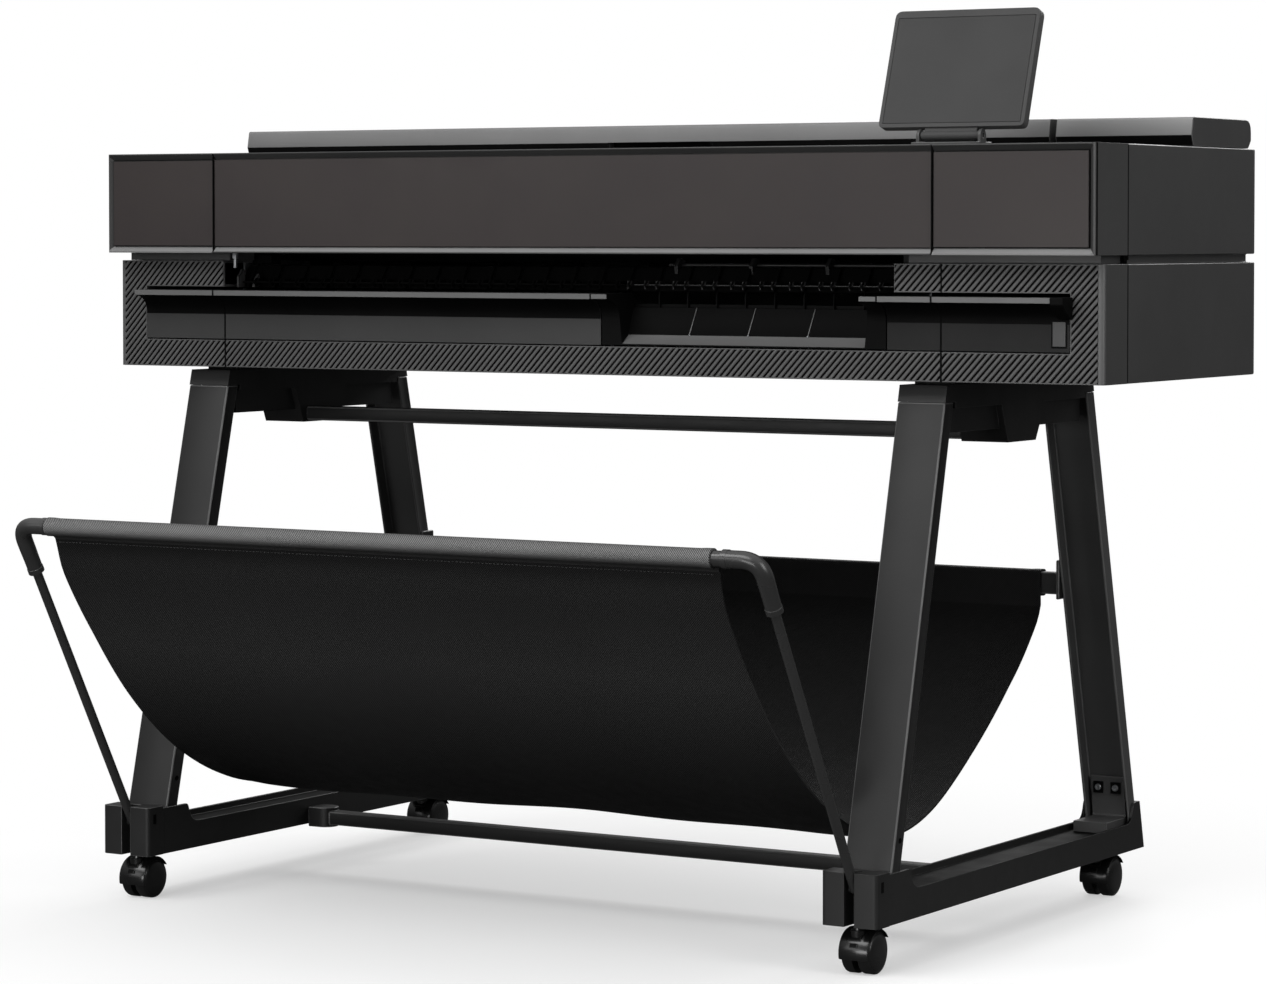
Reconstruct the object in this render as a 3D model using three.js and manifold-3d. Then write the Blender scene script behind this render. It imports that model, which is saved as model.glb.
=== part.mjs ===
// Large format plotter: printer body, tilting control panel, rolling stand and cloth catch basket.
// Millimetres, +Z up, front faces -Y. The origin ends up under the middle of the object's box.

import * as THREE from 'three';
import { mergeVertices } from 'three/addons/utils/BufferGeometryUtils.js';
import Module from 'manifold-3d';

const wasm = await Module();
wasm.setup();

// ---------- driving dimensions ----------

const GAP = 0.3;                 // clearance between pieces that touch
const SEAM = 1.6;                // open seam round a moving cover
const WALL = 3;                  // moulded cover thickness

const BODY_HALF = 701.5;         // half the body's width
const BODY_BACK = 475;
const BODY_FRONT = 0;
const BODY_BOTTOM = 670;
const LOWER_TOP = 806.5;
const LOWER_FRONT = 28;
const UPPER_BOTTOM = 816.5;
const UPPER_TOP = 943.5;
const GROOVE_DEPTH = 10;
const FRONT_RADIUS = 8;
const REAR_RADIUS = 22;

const LEFT_SEAM = -530.5;        // between left cap and window
const RIGHT_SEAM = 496;          // between window and right cap
const CAP_BACK = 90;             // depth of the front caps
const SIDE_INNER = 640;          // inner edge of the side covers' flanges

const FRAME_WIDTH = 8;           // bevelled frame round the inset panels
const FRAME_DEPTH = 6;
const FRAME_LIP = 1.5;

const SLOT_LEFT = -533.5;        // output slot
const SLOT_RIGHT = 434;
const SLOT_SILL = 773;
const STRIP_TOP = 705;           // top of the ribbed bottom strip

const DEFLECTOR_LEFT = -656.5;
const DEFLECTOR_RIGHT = 658.5;
const SHELF_LEFT = 36.5;         // output shelf between the two deflectors
const SHELF_RIGHT = 425.5;
const SHELF_WING = 23;           // lip piece left and right of the cut-out

const LID_FRONT = 287;
const LID_BACK = 466;
const LID_TOP = 979;
const LID_LEFT = -688.5;
const LID_SPLIT = 508;
const LID_RIGHT = 694;

const PANEL_X = 479;             // control panel
const PANEL_WIDTH = 189;
const PANEL_LENGTH = 150;
const PANEL_DEPTH = 12;
const PANEL_LEAN = 18.5;
const PANEL_PIVOT = { y: 84, z: 955 };

const PLATE_LEFT = -553;         // inner end frames
const PLATE_RIGHT = 446;
const PLATE_THICK = 3;
const ROLLER = { y: 200, z: 785, radius: 12, journal: 5 };
const SPINDLE = { y: 375, z: 880, radius: 12, journal: 8 };
const CARRIAGE_HOME = 560;
const RAIL = { front: 240, back: 258, bottom: 806.5, top: 905 };

const STAND_X = [-575.5, 458.5]; // centre planes of the two stands
const FOOT_HALF = 35;
const FOOT_BOTTOM = 57.5;
const FOOT_TOP = 92;
const FOOT_END_TOP = 116;
const FOOT_FRONT = -95;
const FOOT_BACK = 606;
const FOOT_FLOOR = 84;           // floor of the channel that the legs stand on
const LEG_HALF = 31;
const LEG_FLANGE = 22;
const LEG_SHEET = 3.2;
const LEG_TOP = 645;
const FRONT_LEG = { y: -80, z: 119, slope: 135 / 546 };
const REAR_LEG = { y: 587, z: 115, slope: -133 / 550 };

const CASTER_RADIUS = 25;
const CASTER_HALF = 20.5;
const CASTER_TRAIL = 14;
const CASTER_Y = [-88, 555];

const BASKET_PIVOT = { y: -111, z: 98 };
const BASKET_BAR = { y: -330, z: 487, radius: 9 };
const SLEEVE_RADIUS = 12;
const CLOTH_LEFT = -528.5;
const CLOTH_RIGHT = 400.5;
const CLOTH_THICK = 3;
const REAR_BAR = { y: 500, z: 400, halfDepth: 6, halfHeight: 14 };

const REACH_FRONT = BASKET_BAR.y - SLEEVE_RADIUS;
const MIDDLE_Y = (REACH_FRONT + FOOT_BACK) / 2;

// ---------- materials ----------

function finish(color, roughness, metalness = 0) {
  return new THREE.MeshStandardMaterial({ color, roughness, metalness });
}

const shellPlastic = finish(0x2e2e2f, 0.5);
const ribbedPlastic = finish(0x3a3a3b, 0.55);
const glossPanel = finish(0x35302e, 0.15);
const lidPlastic = finish(0x3c3c3d, 0.45);
const innerPlastic = finish(0x141414, 0.6);
const sheetSteel = finish(0xa9abad, 0.4, 0.9);
const standPaint = finish(0x2f2f30, 0.45);
const casterPlastic = finish(0x141415, 0.3);
const tyreRubber = finish(0x1c1c1d, 0.6);
const barGloss = finish(0x232324, 0.25);
const basketFabric = finish(0x131313, 0.85);
const screenGlass = finish(0x1a1a1c, 0.1);
const inkPlastic = finish(0x2b2f36, 0.4);

// ---------- geometry helpers ----------

// An outline from [a, b, radius] corners; a corner with a radius is rounded.
function outline(corners) {
  const shape = new THREE.Shape();
  const count = corners.length;
  corners.forEach(([a, b, radius = 0], i) => {
    const corner = new THREE.Vector2(a, b);
    const before = new THREE.Vector2(...corners[(i + count - 1) % count].slice(0, 2));
    const after = new THREE.Vector2(...corners[(i + 1) % count].slice(0, 2));
    const enter = before.sub(corner).setLength(radius).add(corner);
    const leave = after.sub(corner).setLength(radius).add(corner);
    if (i === 0) shape.moveTo(enter.x, enter.y);
    else shape.lineTo(enter.x, enter.y);
    if (radius > 0) shape.quadraticCurveTo(corner.x, corner.y, leave.x, leave.y);
  });
  return shape;
}

const X = new THREE.Vector3(1, 0, 0);
const Y = new THREE.Vector3(0, 1, 0);
const Z = new THREE.Vector3(0, 0, 1);
const TURN = {
  x: new THREE.Matrix4().makeBasis(Y, Z, X),
  y: new THREE.Matrix4().makeBasis(X, Z, Y.clone().negate()),
  z: new THREE.Matrix4(),
};

// A closed three.js mesh as a solid that can be joined and cut.
function solid(geometry) {
  geometry.deleteAttribute('normal');
  geometry.deleteAttribute('uv');
  const merged = mergeVertices(geometry, 1e-4);
  return new wasm.Manifold(new wasm.Mesh({
    numProp: 3,
    vertProperties: new Float32Array(merged.attributes.position.array),
    triVerts: new Uint32Array(merged.index.array),
  }));
}

// Extrudes an outline along x (outline in y, z), y (outline in x, z) or z (outline in x, y).
function prism(axis, corners, from, to, curveSegments = 4) {
  const shape = Array.isArray(corners) ? outline(corners) : corners;
  const geometry = new THREE.ExtrudeGeometry(shape, { depth: to - from, bevelEnabled: false, curveSegments });
  geometry.applyMatrix4(TURN[axis]);
  if (axis === 'x') geometry.translate(from, 0, 0);
  if (axis === 'y') geometry.translate(0, to, 0);
  if (axis === 'z') geometry.translate(0, 0, from);
  return solid(geometry);
}

function box(x0, x1, y0, y1, z0, z1) {
  const geometry = new THREE.BoxGeometry(x1 - x0, y1 - y0, z1 - z0);
  geometry.translate((x0 + x1) / 2, (y0 + y1) / 2, (z0 + z1) / 2);
  return solid(geometry);
}

function rodX(y, z, radius, x0, x1, sides = 24) {
  const geometry = new THREE.CylinderGeometry(radius, radius, x1 - x0, sides);
  geometry.rotateZ(-Math.PI / 2);
  geometry.translate((x0 + x1) / 2, y, z);
  return solid(geometry);
}

function rodZ(x, y, radius, z0, z1, sides = 24) {
  const geometry = new THREE.CylinderGeometry(radius, radius, z1 - z0, sides);
  geometry.rotateX(Math.PI / 2);
  geometry.translate(x, y, (z0 + z1) / 2);
  return solid(geometry);
}

// Turns a [radius, x] profile, which starts and ends on the axis, about a line along x.
function turnedX(profile, y, z, sides = 24) {
  const geometry = new THREE.LatheGeometry(profile.map(([r, x]) => new THREE.Vector2(r, x)), sides);
  geometry.rotateZ(-Math.PI / 2);
  geometry.translate(0, y, z);
  return solid(geometry);
}

// A round bar swept along a path.
function sweptBar(path, radius, steps, sides = 12) {
  const section = new THREE.Shape();
  section.absarc(0, 0, radius, 0, Math.PI * 2);
  return solid(new THREE.ExtrudeGeometry(section, {
    steps, extrudePath: path, bevelEnabled: false, curveSegments: sides / 2,
  }));
}

function join(first, ...others) {
  return others.reduce((sum, other) => sum.add(other), first);
}

function cut(body, ...tools) {
  return tools.reduce((rest, tool) => rest.subtract(tool), body);
}

const plotter = new THREE.Group();

function part(name, body, material) {
  const shape = body.getMesh();
  const geometry = new THREE.BufferGeometry();
  geometry.setAttribute('position', new THREE.BufferAttribute(new Float32Array(shape.vertProperties), 3));
  geometry.setIndex(new THREE.BufferAttribute(new Uint32Array(shape.triVerts), 1));
  geometry.computeVertexNormals();
  const mesh = new THREE.Mesh(geometry, material);
  mesh.name = name;
  plotter.add(mesh);
  return mesh;
}

const bySide = ['left', 'right'];

// ---------- upper section ----------

const PAST_SEAM = 30;            // how far the frame's opening runs past a seam, where it has no upright

// The opening of a bevelled frame: it narrows from the front plane to the depth of the inset panel.
function bevelledOpening(x0, x1) {
  const rim = FRAME_WIDTH;
  const corners = [
    [x0 + rim, UPPER_BOTTOM + rim], [x1 - rim, UPPER_BOTTOM + rim],
    [x1 - rim, UPPER_TOP - rim], [x0 + rim, UPPER_TOP - rim],
  ];
  const geometry = new THREE.ExtrudeGeometry(outline(corners), {
    depth: 2, bevelEnabled: true, bevelThickness: FRAME_DEPTH, bevelSize: FRAME_WIDTH - FRAME_LIP,
    bevelSegments: 1,
  });
  geometry.applyMatrix4(TURN.y);
  return solid(geometry);
}

function cap(side) {
  const [x0, x1] = side === 'left'
    ? [-BODY_HALF, LEFT_SEAM - SEAM / 2]
    : [RIGHT_SEAM + SEAM / 2, BODY_HALF];
  const round = side === 'left' ? [FRONT_RADIUS, 0] : [0, FRONT_RADIUS];
  const plan = [[x0, BODY_FRONT, round[0]], [x1, BODY_FRONT, round[1]], [x1, CAP_BACK], [x0, CAP_BACK]];
  const neckLeft = side === 'left' ? x0 + GROOVE_DEPTH : SLOT_RIGHT;
  const neckRight = side === 'left' ? x1 : x1 - GROOVE_DEPTH;
  const neckFront = LOWER_FRONT + GROOVE_DEPTH;
  const chamfer = side === 'left' ? 0 : 14;
  const neckPlan = [
    [neckLeft, neckFront + chamfer], [neckLeft + chamfer, neckFront], [neckRight, neckFront],
    [neckRight, CAP_BACK], [neckLeft, CAP_BACK],
  ];
  const rim = FRAME_WIDTH;
  const [pastLeft, pastRight] = side === 'left' ? [0, PAST_SEAM] : [PAST_SEAM, 0];
  const [openLeft, openRight] = side === 'left' ? [rim, WALL] : [WALL, rim];
  return cut(
    join(
      cut(
        prism('z', plan, UPPER_BOTTOM, UPPER_TOP),
        box(x0 + WALL, x1 - WALL, FRAME_WIDTH, CAP_BACK + 1, UPPER_BOTTOM + WALL, UPPER_TOP - WALL),
      ),
      prism('z', chamfer ? neckPlan : neckPlan.slice(1), LOWER_TOP + GAP, UPPER_BOTTOM - GAP),
      box(Math.max(neckLeft, x0 + GROOVE_DEPTH) + 4, neckRight - 4, neckFront + 4, CAP_BACK - 4,
        UPPER_BOTTOM - 2, UPPER_BOTTOM + 1),
    ),
    bevelledOpening(x0 - pastLeft, x1 + pastRight),
    box(x0 + openLeft, x1 - openRight, FRAME_DEPTH - 1, FRAME_WIDTH + 1, UPPER_BOTTOM + rim, UPPER_TOP - rim),
  );
}

const PANE_FRONT = 3;            // depth of the inset panels behind the front plane

// An inset door: a plate with two hinge lugs on its back and a latch hook at the top.
function insetDoor(side) {
  const [x0, x1] = side === 'left'
    ? [-BODY_HALF, LEFT_SEAM - SEAM / 2]
    : [RIGHT_SEAM + SEAM / 2, BODY_HALF];
  const rim = FRAME_WIDTH + 0.5;
  const bottom = UPPER_BOTTOM + rim;
  const top = UPPER_TOP - rim;
  const [edgeLeft, edgeRight] = side === 'left' ? [rim, 0.2] : [0.2, rim];
  const lug = (x) => box(x, x + 8, 5, 10, bottom, bottom + 9);
  const middle = (x0 + x1) / 2;
  return join(
    box(x0 + edgeLeft, x1 - edgeRight, PANE_FRONT, FRAME_DEPTH - GAP, bottom, top),
    lug(x0 + rim + 6),
    lug(x1 - rim - 14),
    box(middle - 8, middle + 8, 5, 14, top - 6, top - 3),
  );
}

function windowFrame() {
  const x0 = LEFT_SEAM + SEAM / 2;
  const x1 = RIGHT_SEAM - SEAM / 2;
  const rebate = 5;
  return cut(
    box(x0, x1, BODY_FRONT, 20, UPPER_BOTTOM, UPPER_TOP),
    bevelledOpening(x0 - PAST_SEAM, x1 + PAST_SEAM),
    box(x0 + rebate, x1 - rebate, FRAME_DEPTH, 21, UPPER_BOTTOM + rebate, UPPER_TOP - rebate),
  );
}

// The pane shows from seam to seam, and its thicker middle sits in the frame's rebate.
function windowPane() {
  const x0 = LEFT_SEAM + SEAM / 2;
  const x1 = RIGHT_SEAM - SEAM / 2;
  const inset = 5 + GAP;
  const rim = FRAME_WIDTH + 0.5;
  return join(
    box(x0 + inset, x1 - inset, FRAME_DEPTH + GAP, FRAME_DEPTH + GAP + 3.2,
      UPPER_BOTTOM + inset, UPPER_TOP - inset),
    box(x0 + inset, x1 - inset, PANE_FRONT + 1, FRAME_DEPTH + 1, UPPER_BOTTOM + rim, UPPER_TOP - rim),
    box(x0 + 0.2, x1 - 0.2, PANE_FRONT, FRAME_DEPTH - GAP, UPPER_BOTTOM + rim, UPPER_TOP - rim),
  );
}

const DECK_BACK = BODY_BACK - WALL - 30.4;

function topDeck() {
  const side = SIDE_INNER - GAP;
  const front = 24.5;
  const behindCaps = CAP_BACK + GAP;
  const plan = [
    [-side, behindCaps], [LEFT_SEAM, behindCaps], [LEFT_SEAM, front], [RIGHT_SEAM, front],
    [RIGHT_SEAM, behindCaps], [side, behindCaps], [side, DECK_BACK], [LID_SPLIT + 6, DECK_BACK],
    [LID_SPLIT + 6, LID_FRONT + 14], [-side, LID_FRONT + 14],
  ];
  return prism('z', plan, UPPER_TOP - 4, UPPER_TOP);
}

// One side cover: upper and lower wall in one shell, with the recessed groove between them.
function sideCover(side) {
  const sign = side === 'left' ? -1 : 1;
  const plan = (inset, slack = 0) => [
    [sign * (BODY_HALF - inset), CAP_BACK + GAP - slack],
    [sign * (BODY_HALF - inset), BODY_BACK - inset, REAR_RADIUS - Math.max(inset, 0)],
    [sign * (SIDE_INNER - slack), BODY_BACK - inset],
    [sign * (SIDE_INNER - slack), CAP_BACK + GAP - slack],
  ];
  const shell = cut(
    prism('z', plan(0), BODY_BOTTOM, UPPER_TOP),
    prism('z', plan(WALL, 1), BODY_BOTTOM + WALL, UPPER_TOP - WALL),
  );
  const belt = cut(
    prism('z', plan(0), LOWER_TOP - WALL, UPPER_BOTTOM + WALL),
    prism('z', plan(GROOVE_DEPTH + WALL, 1), LOWER_TOP - WALL - 1, UPPER_BOTTOM + WALL + 1),
  );
  const groove = cut(
    prism('z', plan(-1, 1), LOWER_TOP, UPPER_BOTTOM),
    prism('z', plan(GROOVE_DEPTH, 2), LOWER_TOP - 1, UPPER_BOTTOM + 1),
  );
  return cut(join(shell, belt), groove);
}

const INLET = { x: 560, z: 716, halfWidth: 25, halfHeight: 14 };
const SWITCH = { x: 606, z: 716, halfWidth: 8, halfHeight: 12 };

function rearCover() {
  const half = SIDE_INNER - GAP;
  const inside = BODY_BACK - WALL;
  const flange = 30;
  const profile = [
    [inside - flange, UPPER_TOP], [BODY_BACK, UPPER_TOP, 2], [BODY_BACK, BODY_BOTTOM + 1],
    [inside, BODY_BOTTOM + 1], [inside, UPPER_TOP - WALL], [inside - flange, UPPER_TOP - WALL],
  ];
  const rib = (z) => box(-half + 20, half - 20, inside - 5, inside + 1, z, z + 3);
  return cut(
    join(prism('x', profile, -half, half), rib(740), rib(860)),
    box(INLET.x - INLET.halfWidth - GAP, INLET.x + INLET.halfWidth + GAP, inside - 10, BODY_BACK + 1,
      INLET.z - INLET.halfHeight - GAP, INLET.z + INLET.halfHeight + GAP),
    box(SWITCH.x - SWITCH.halfWidth, SWITCH.x + SWITCH.halfWidth, inside - 10, BODY_BACK + 1,
      SWITCH.z - SWITCH.halfHeight, SWITCH.z + SWITCH.halfHeight),
  );
}

function powerInlet() {
  const pin = (dx, dz) => box(INLET.x + dx - 1, INLET.x + dx + 1, 456, 467,
    INLET.z + dz - 2, INLET.z + dz + 2);
  return join(
    cut(
      box(INLET.x - INLET.halfWidth, INLET.x + INLET.halfWidth, 452, BODY_BACK - 0.2,
        INLET.z - INLET.halfHeight, INLET.z + INLET.halfHeight),
      box(INLET.x - 13, INLET.x + 13, 457, BODY_BACK + 1, INLET.z - 9, INLET.z + 9),
    ),
    pin(-7, -2),
    pin(7, -2),
    pin(0, 3),
  );
}

const ROCKER_TILT = 8;

// The rocker stands tilted to its off position at rest.
function powerSwitch() {
  const halfWidth = SWITCH.halfWidth - 0.8;
  const halfHeight = SWITCH.halfHeight - 1.6;
  const profile = [[-9, -5], [-9, 5], [2.5, halfHeight], [0.8, 0], [2.5, -halfHeight]];
  return prism('x', profile, -halfWidth, halfWidth);
}

// ---------- raised top covers ----------

function lid(x0, x1) {
  const bottom = UPPER_TOP + 0.8;
  const outer = [
    [LID_FRONT + 5, bottom], [LID_FRONT, 957.5], [LID_FRONT + 4, LID_TOP, 3], [LID_BACK, LID_TOP, 16],
    [LID_BACK, 954], [LID_BACK - 6, 947], [LID_BACK - 9, bottom],
  ];
  const inner = [
    [LID_FRONT + 8, bottom - 2], [LID_FRONT + 3.5, 957.5], [LID_FRONT + 7, LID_TOP - WALL],
    [LID_BACK - 3, LID_TOP - WALL, 14], [LID_BACK - 3, 956], [LID_BACK - 9, 949], [LID_BACK - 12, bottom - 2],
  ];
  return cut(prism('x', outer, x0, x1), prism('x', inner, x0 + WALL, x1 - WALL));
}

const FINGER = { left: -113.5, right: 36.5, depth: 12, top: 957.5 };

// The long cover over the roll, with a finger recess under its front edge.
function rollCover() {
  const pocket = [
    [LID_FRONT - 4, UPPER_TOP - 1], [LID_FRONT + FINGER.depth + 3, UPPER_TOP - 1],
    [LID_FRONT + FINGER.depth + 3, FINGER.top + 2.4], [LID_FRONT - 4, FINGER.top + 2.4],
  ];
  const hollow = [
    [LID_FRONT - 5, UPPER_TOP - 2], [LID_FRONT + FINGER.depth, UPPER_TOP - 2],
    [LID_FRONT + FINGER.depth, FINGER.top], [LID_FRONT - 5, FINGER.top],
  ];
  const bottomTrim = box(FINGER.left - 10, FINGER.right + 10, LID_FRONT - 10, LID_FRONT + 30,
    UPPER_TOP - 10, UPPER_TOP + 0.8);
  const nose = prism('x', pocket, FINGER.left - 3, FINGER.right + 3)
    .intersect(prism('x', [
      [LID_FRONT + 5, UPPER_TOP], [LID_FRONT, 957.5], [LID_FRONT + 1, 962], [LID_FRONT + 20, 962],
      [LID_FRONT + 20, UPPER_TOP],
    ], FINGER.left - 3, FINGER.right + 3));
  return cut(
    join(lid(LID_LEFT, LID_SPLIT), nose),
    prism('x', hollow, FINGER.left, FINGER.right),
    bottomTrim,
  );
}

// ---------- control panel ----------

function panelFoot() {
  const { y, z } = PANEL_PIVOT;
  const ear = (x) => join(box(x, x + 4, y - 8, y + 8, UPPER_TOP + GAP, z), rodX(y, z, 8, x, x + 4, 16));
  return cut(
    join(
      box(PANEL_X - 42, PANEL_X + 42, y - 20, y + 22, UPPER_TOP + GAP, UPPER_TOP + 4),
      ear(PANEL_X - 42),
      ear(PANEL_X + 38),
    ),
    rodX(y, z, 2.7, PANEL_X - 50, PANEL_X + 50, 12),
  );
}

// Upright in its own frame, about the pivot; the group leans it back.
function panelHousing() {
  const half = PANEL_WIDTH / 2;
  const bottom = 9;
  const top = bottom + PANEL_LENGTH - 4;
  const face = [[-half, bottom, 7], [half, bottom, 7], [half, top, 9], [-half, top, 9]];
  const pocket = [[-half + 5, bottom + 5], [half - 5, bottom + 5], [half - 5, top - 9], [-half + 5, top - 9]];
  return join(
    cut(
      prism('y', face, -PANEL_DEPTH / 2, PANEL_DEPTH / 2),
      prism('y', pocket, -PANEL_DEPTH / 2 - 1, -PANEL_DEPTH / 2 + 1.8),
    ),
    rodX(0, 0, 5.5, -37.5, 37.5, 16),
    box(-34, 34, -3, 3, 0, bottom + 1),
    rodX(0, 0, 2.2, -41, 41, 12),
  );
}

function panelScreen() {
  const half = PANEL_WIDTH / 2 - 5 - GAP;
  return box(-half, half, -PANEL_DEPTH / 2 + 0.1, -PANEL_DEPTH / 2 + 1.5,
    14 + GAP, PANEL_LENGTH + 5 - 9 - GAP);
}

// ---------- lower section ----------

function cheek(side) {
  const sign = side === 'left' ? -1 : 1;
  const outer = sign * BODY_HALF;
  const seam = side === 'left' ? LEFT_SEAM - SEAM / 2 : RIGHT_SEAM + SEAM / 2;
  const slotEnd = side === 'left' ? SLOT_LEFT : SLOT_RIGHT;
  const deflectorEnd = side === 'left' ? DEFLECTOR_LEFT - 1 : DEFLECTOR_RIGHT + 1;
  const span = (a, b) => [Math.min(a, b), Math.max(a, b)];
  const shell = (xa, xb, z0, z1, floor) => {
    const [x0, x1] = span(xa, xb);
    const plan = (inset, slack) => [
      [outer - sign * inset, LOWER_FRONT + inset, Math.max(FRONT_RADIUS - inset, 0.5)],
      [side === 'left' ? x1 + slack : x0 - slack, LOWER_FRONT + inset],
      [side === 'left' ? x1 + slack : x0 - slack, CAP_BACK + slack],
      [outer - sign * inset, CAP_BACK + slack],
    ];
    return cut(prism('z', plan(0, 0), z0, z1), prism('z', plan(WALL, 1), z0 + floor, z1 - floor));
  };
  const [c0, c1] = span(outer, deflectorEnd);
  return join(
    shell(outer, seam, BODY_BOTTOM, STRIP_TOP, WALL),
    shell(outer, slotEnd, SLOT_SILL, LOWER_TOP, WALL),
    cut(
      prism('z', [
        [outer, LOWER_FRONT, FRONT_RADIUS], [side === 'left' ? c1 : c0, LOWER_FRONT],
        [side === 'left' ? c1 : c0, CAP_BACK], [outer, CAP_BACK],
      ], STRIP_TOP - 4, SLOT_SILL + 4),
      prism('z', [
        [outer - sign * WALL, LOWER_FRONT + WALL, FRONT_RADIUS - WALL],
        [side === 'left' ? c1 - WALL : c0 + WALL, LOWER_FRONT + WALL],
        [side === 'left' ? c1 - WALL : c0 + WALL, CAP_BACK + 1], [outer - sign * WALL, CAP_BACK + 1],
      ], STRIP_TOP - 5, SLOT_SILL + 5),
    ),
  );
}

function lowerFrontStrip() {
  const profile = [
    [LOWER_FRONT, BODY_BOTTOM], [CAP_BACK, BODY_BOTTOM], [CAP_BACK, BODY_BOTTOM + WALL],
    [LOWER_FRONT + WALL, BODY_BOTTOM + WALL], [LOWER_FRONT + WALL, STRIP_TOP - WALL],
    [60, STRIP_TOP - WALL], [60, STRIP_TOP], [LOWER_FRONT, STRIP_TOP],
  ];
  return prism('x', profile, LEFT_SEAM + SEAM / 2, RIGHT_SEAM - SEAM / 2);
}

const LIP = { front: 0, bottom: 762.3, top: 768.7, faceY: 26, curveEnd: 738, back: 62 };

// Section of the output deflector: a lip, a hollow curve under it and an upright face.
function deflectorSection() {
  const shape = new THREE.Shape();
  shape.moveTo(LIP.front, LIP.top);
  shape.lineTo(LIP.front, LIP.bottom);
  shape.quadraticCurveTo(LIP.faceY, LIP.bottom - 2, LIP.faceY, LIP.curveEnd);
  shape.lineTo(LIP.faceY, STRIP_TOP + 1.5);
  shape.lineTo(LIP.faceY + WALL, STRIP_TOP + 1.5);
  shape.lineTo(LIP.faceY + WALL, LIP.curveEnd);
  shape.quadraticCurveTo(LIP.faceY + WALL, LIP.bottom + 1, LIP.faceY - 4, LIP.top - WALL);
  shape.lineTo(LIP.back, LIP.top - WALL);
  shape.lineTo(LIP.back, LIP.top);
  return shape;
}

// The filled section, which closes the ends of a deflector.
function deflectorEnd(x0, x1) {
  const shape = new THREE.Shape();
  shape.moveTo(LIP.front, LIP.top);
  shape.lineTo(LIP.front, LIP.bottom);
  shape.quadraticCurveTo(LIP.faceY, LIP.bottom - 2, LIP.faceY, LIP.curveEnd);
  shape.lineTo(LIP.faceY, STRIP_TOP + 1.5);
  shape.lineTo(LIP.back, STRIP_TOP + 1.5);
  shape.lineTo(LIP.back, LIP.top);
  return prism('x', shape, x0, x1, 6);
}

function deflector(x0, x1, seamX) {
  const seam = SEAM / 2;
  const seamCut = (depth) => prism('x', [
    [LIP.front - 1, LIP.bottom - 40], [LIP.front + depth, LIP.bottom - 40], [LIP.front + depth, LIP.top + 1],
    [LIP.front - 1, LIP.top + 1],
  ], seamX - seam, seamX + seam);
  return cut(
    join(
      prism('x', deflectorSection(), x0, x1, 6),
      deflectorEnd(x0, x0 + WALL),
      deflectorEnd(x1 - WALL, x1),
    ),
    seamCut(2),
  );
}

// The shelf between the deflectors: two lip ends with slanted walls, and a sunk ramp between them.
function outputShelf() {
  const x0 = SHELF_LEFT + SEAM / 2;
  const x1 = SHELF_RIGHT - SEAM / 2;
  const openLeft = SHELF_LEFT + SHELF_WING;
  const openRight = SHELF_RIGHT - SHELF_WING;
  const slant = 6;
  const recess = [
    [openLeft, LIP.top + 1], [openLeft + slant, STRIP_TOP + 3], [openRight - slant, STRIP_TOP + 3],
    [openRight, LIP.top + 1],
  ];
  const sill = { z: 708, topY: LIP.faceY + 17, topZ: 719 };
  const ramp = [
    [LIP.faceY, STRIP_TOP + 1.5], [LIP.back, STRIP_TOP + 1.5], [LIP.back, 752], [sill.topY, sill.topZ],
    [LIP.faceY, sill.z],
  ];
  const under = [
    [LIP.faceY + WALL, STRIP_TOP + 1], [LIP.back + 1, STRIP_TOP + 1], [LIP.back + 1, 747.5],
    [sill.topY + 1.5, sill.topZ - 3], [LIP.faceY + WALL, sill.z - 0.5],
  ];
  return cut(
    join(
      cut(deflectorEnd(x0, x1), prism('y', recess, LIP.front - 1, LIP.back + 1)),
      prism('x', ramp, openLeft + 1, openRight - 1),
    ),
    prism('x', under, x0 + WALL, x1 - WALL),
  );
}

// ---------- mechanism ----------

function endFrame(x) {
  const slotHalf = SPINDLE.journal + 0.8;
  const plate = [
    [95, 673.5], [466, 673.5], [466, 925], [SPINDLE.y + slotHalf, 925],
    [SPINDLE.y + slotHalf, SPINDLE.z - slotHalf], [SPINDLE.y - slotHalf, SPINDLE.z - slotHalf],
    [SPINDLE.y - slotHalf, 925], [300, 925], [266, 890], [266, RAIL.bottom - GAP], [95, RAIL.bottom - GAP],
  ];
  return cut(
    prism('x', plate, x, x + PLATE_THICK),
    rodX(ROLLER.y, ROLLER.z, ROLLER.journal + 0.6, x - 5, x + 8, 20),
    rodX(300, 735, 24, x - 5, x + 8, 20),
  );
}

function basePan() {
  const front = CAP_BACK + GAP;
  const back = BODY_BACK - WALL - GAP;
  const profile = [
    [front, BODY_BOTTOM], [back, BODY_BOTTOM], [back, 700], [back - WALL, 700],
    [back - WALL, BODY_BOTTOM + WALL], [front + WALL, BODY_BOTTOM + WALL], [front + WALL, 700], [front, 700],
  ];
  return prism('x', profile, -SIDE_INNER + GAP, SIDE_INNER - GAP);
}

const PLATEN_TOP = 800;
const PLATEN_RIBS = 24;

function platen() {
  const x0 = SLOT_LEFT + GAP;
  const x1 = SLOT_RIGHT - GAP;
  const profile = [
    [64, 772], [80, PLATEN_TOP], [184, PLATEN_TOP], [184, 795], [84, 795], [69, 770],
  ];
  const rib = [[57, 772], [67, 773], [84, PLATEN_TOP + 1.5], [74, PLATEN_TOP - 1]];
  const pitch = (x1 - x0 - 30) / (PLATEN_RIBS - 1);
  let body = prism('x', profile, x0, x1);
  for (let i = 0; i < PLATEN_RIBS; i += 1) {
    const x = x0 + 13 + i * pitch;
    body = body.add(prism('x', rib, x, x + 4));
  }
  return body;
}

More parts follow.
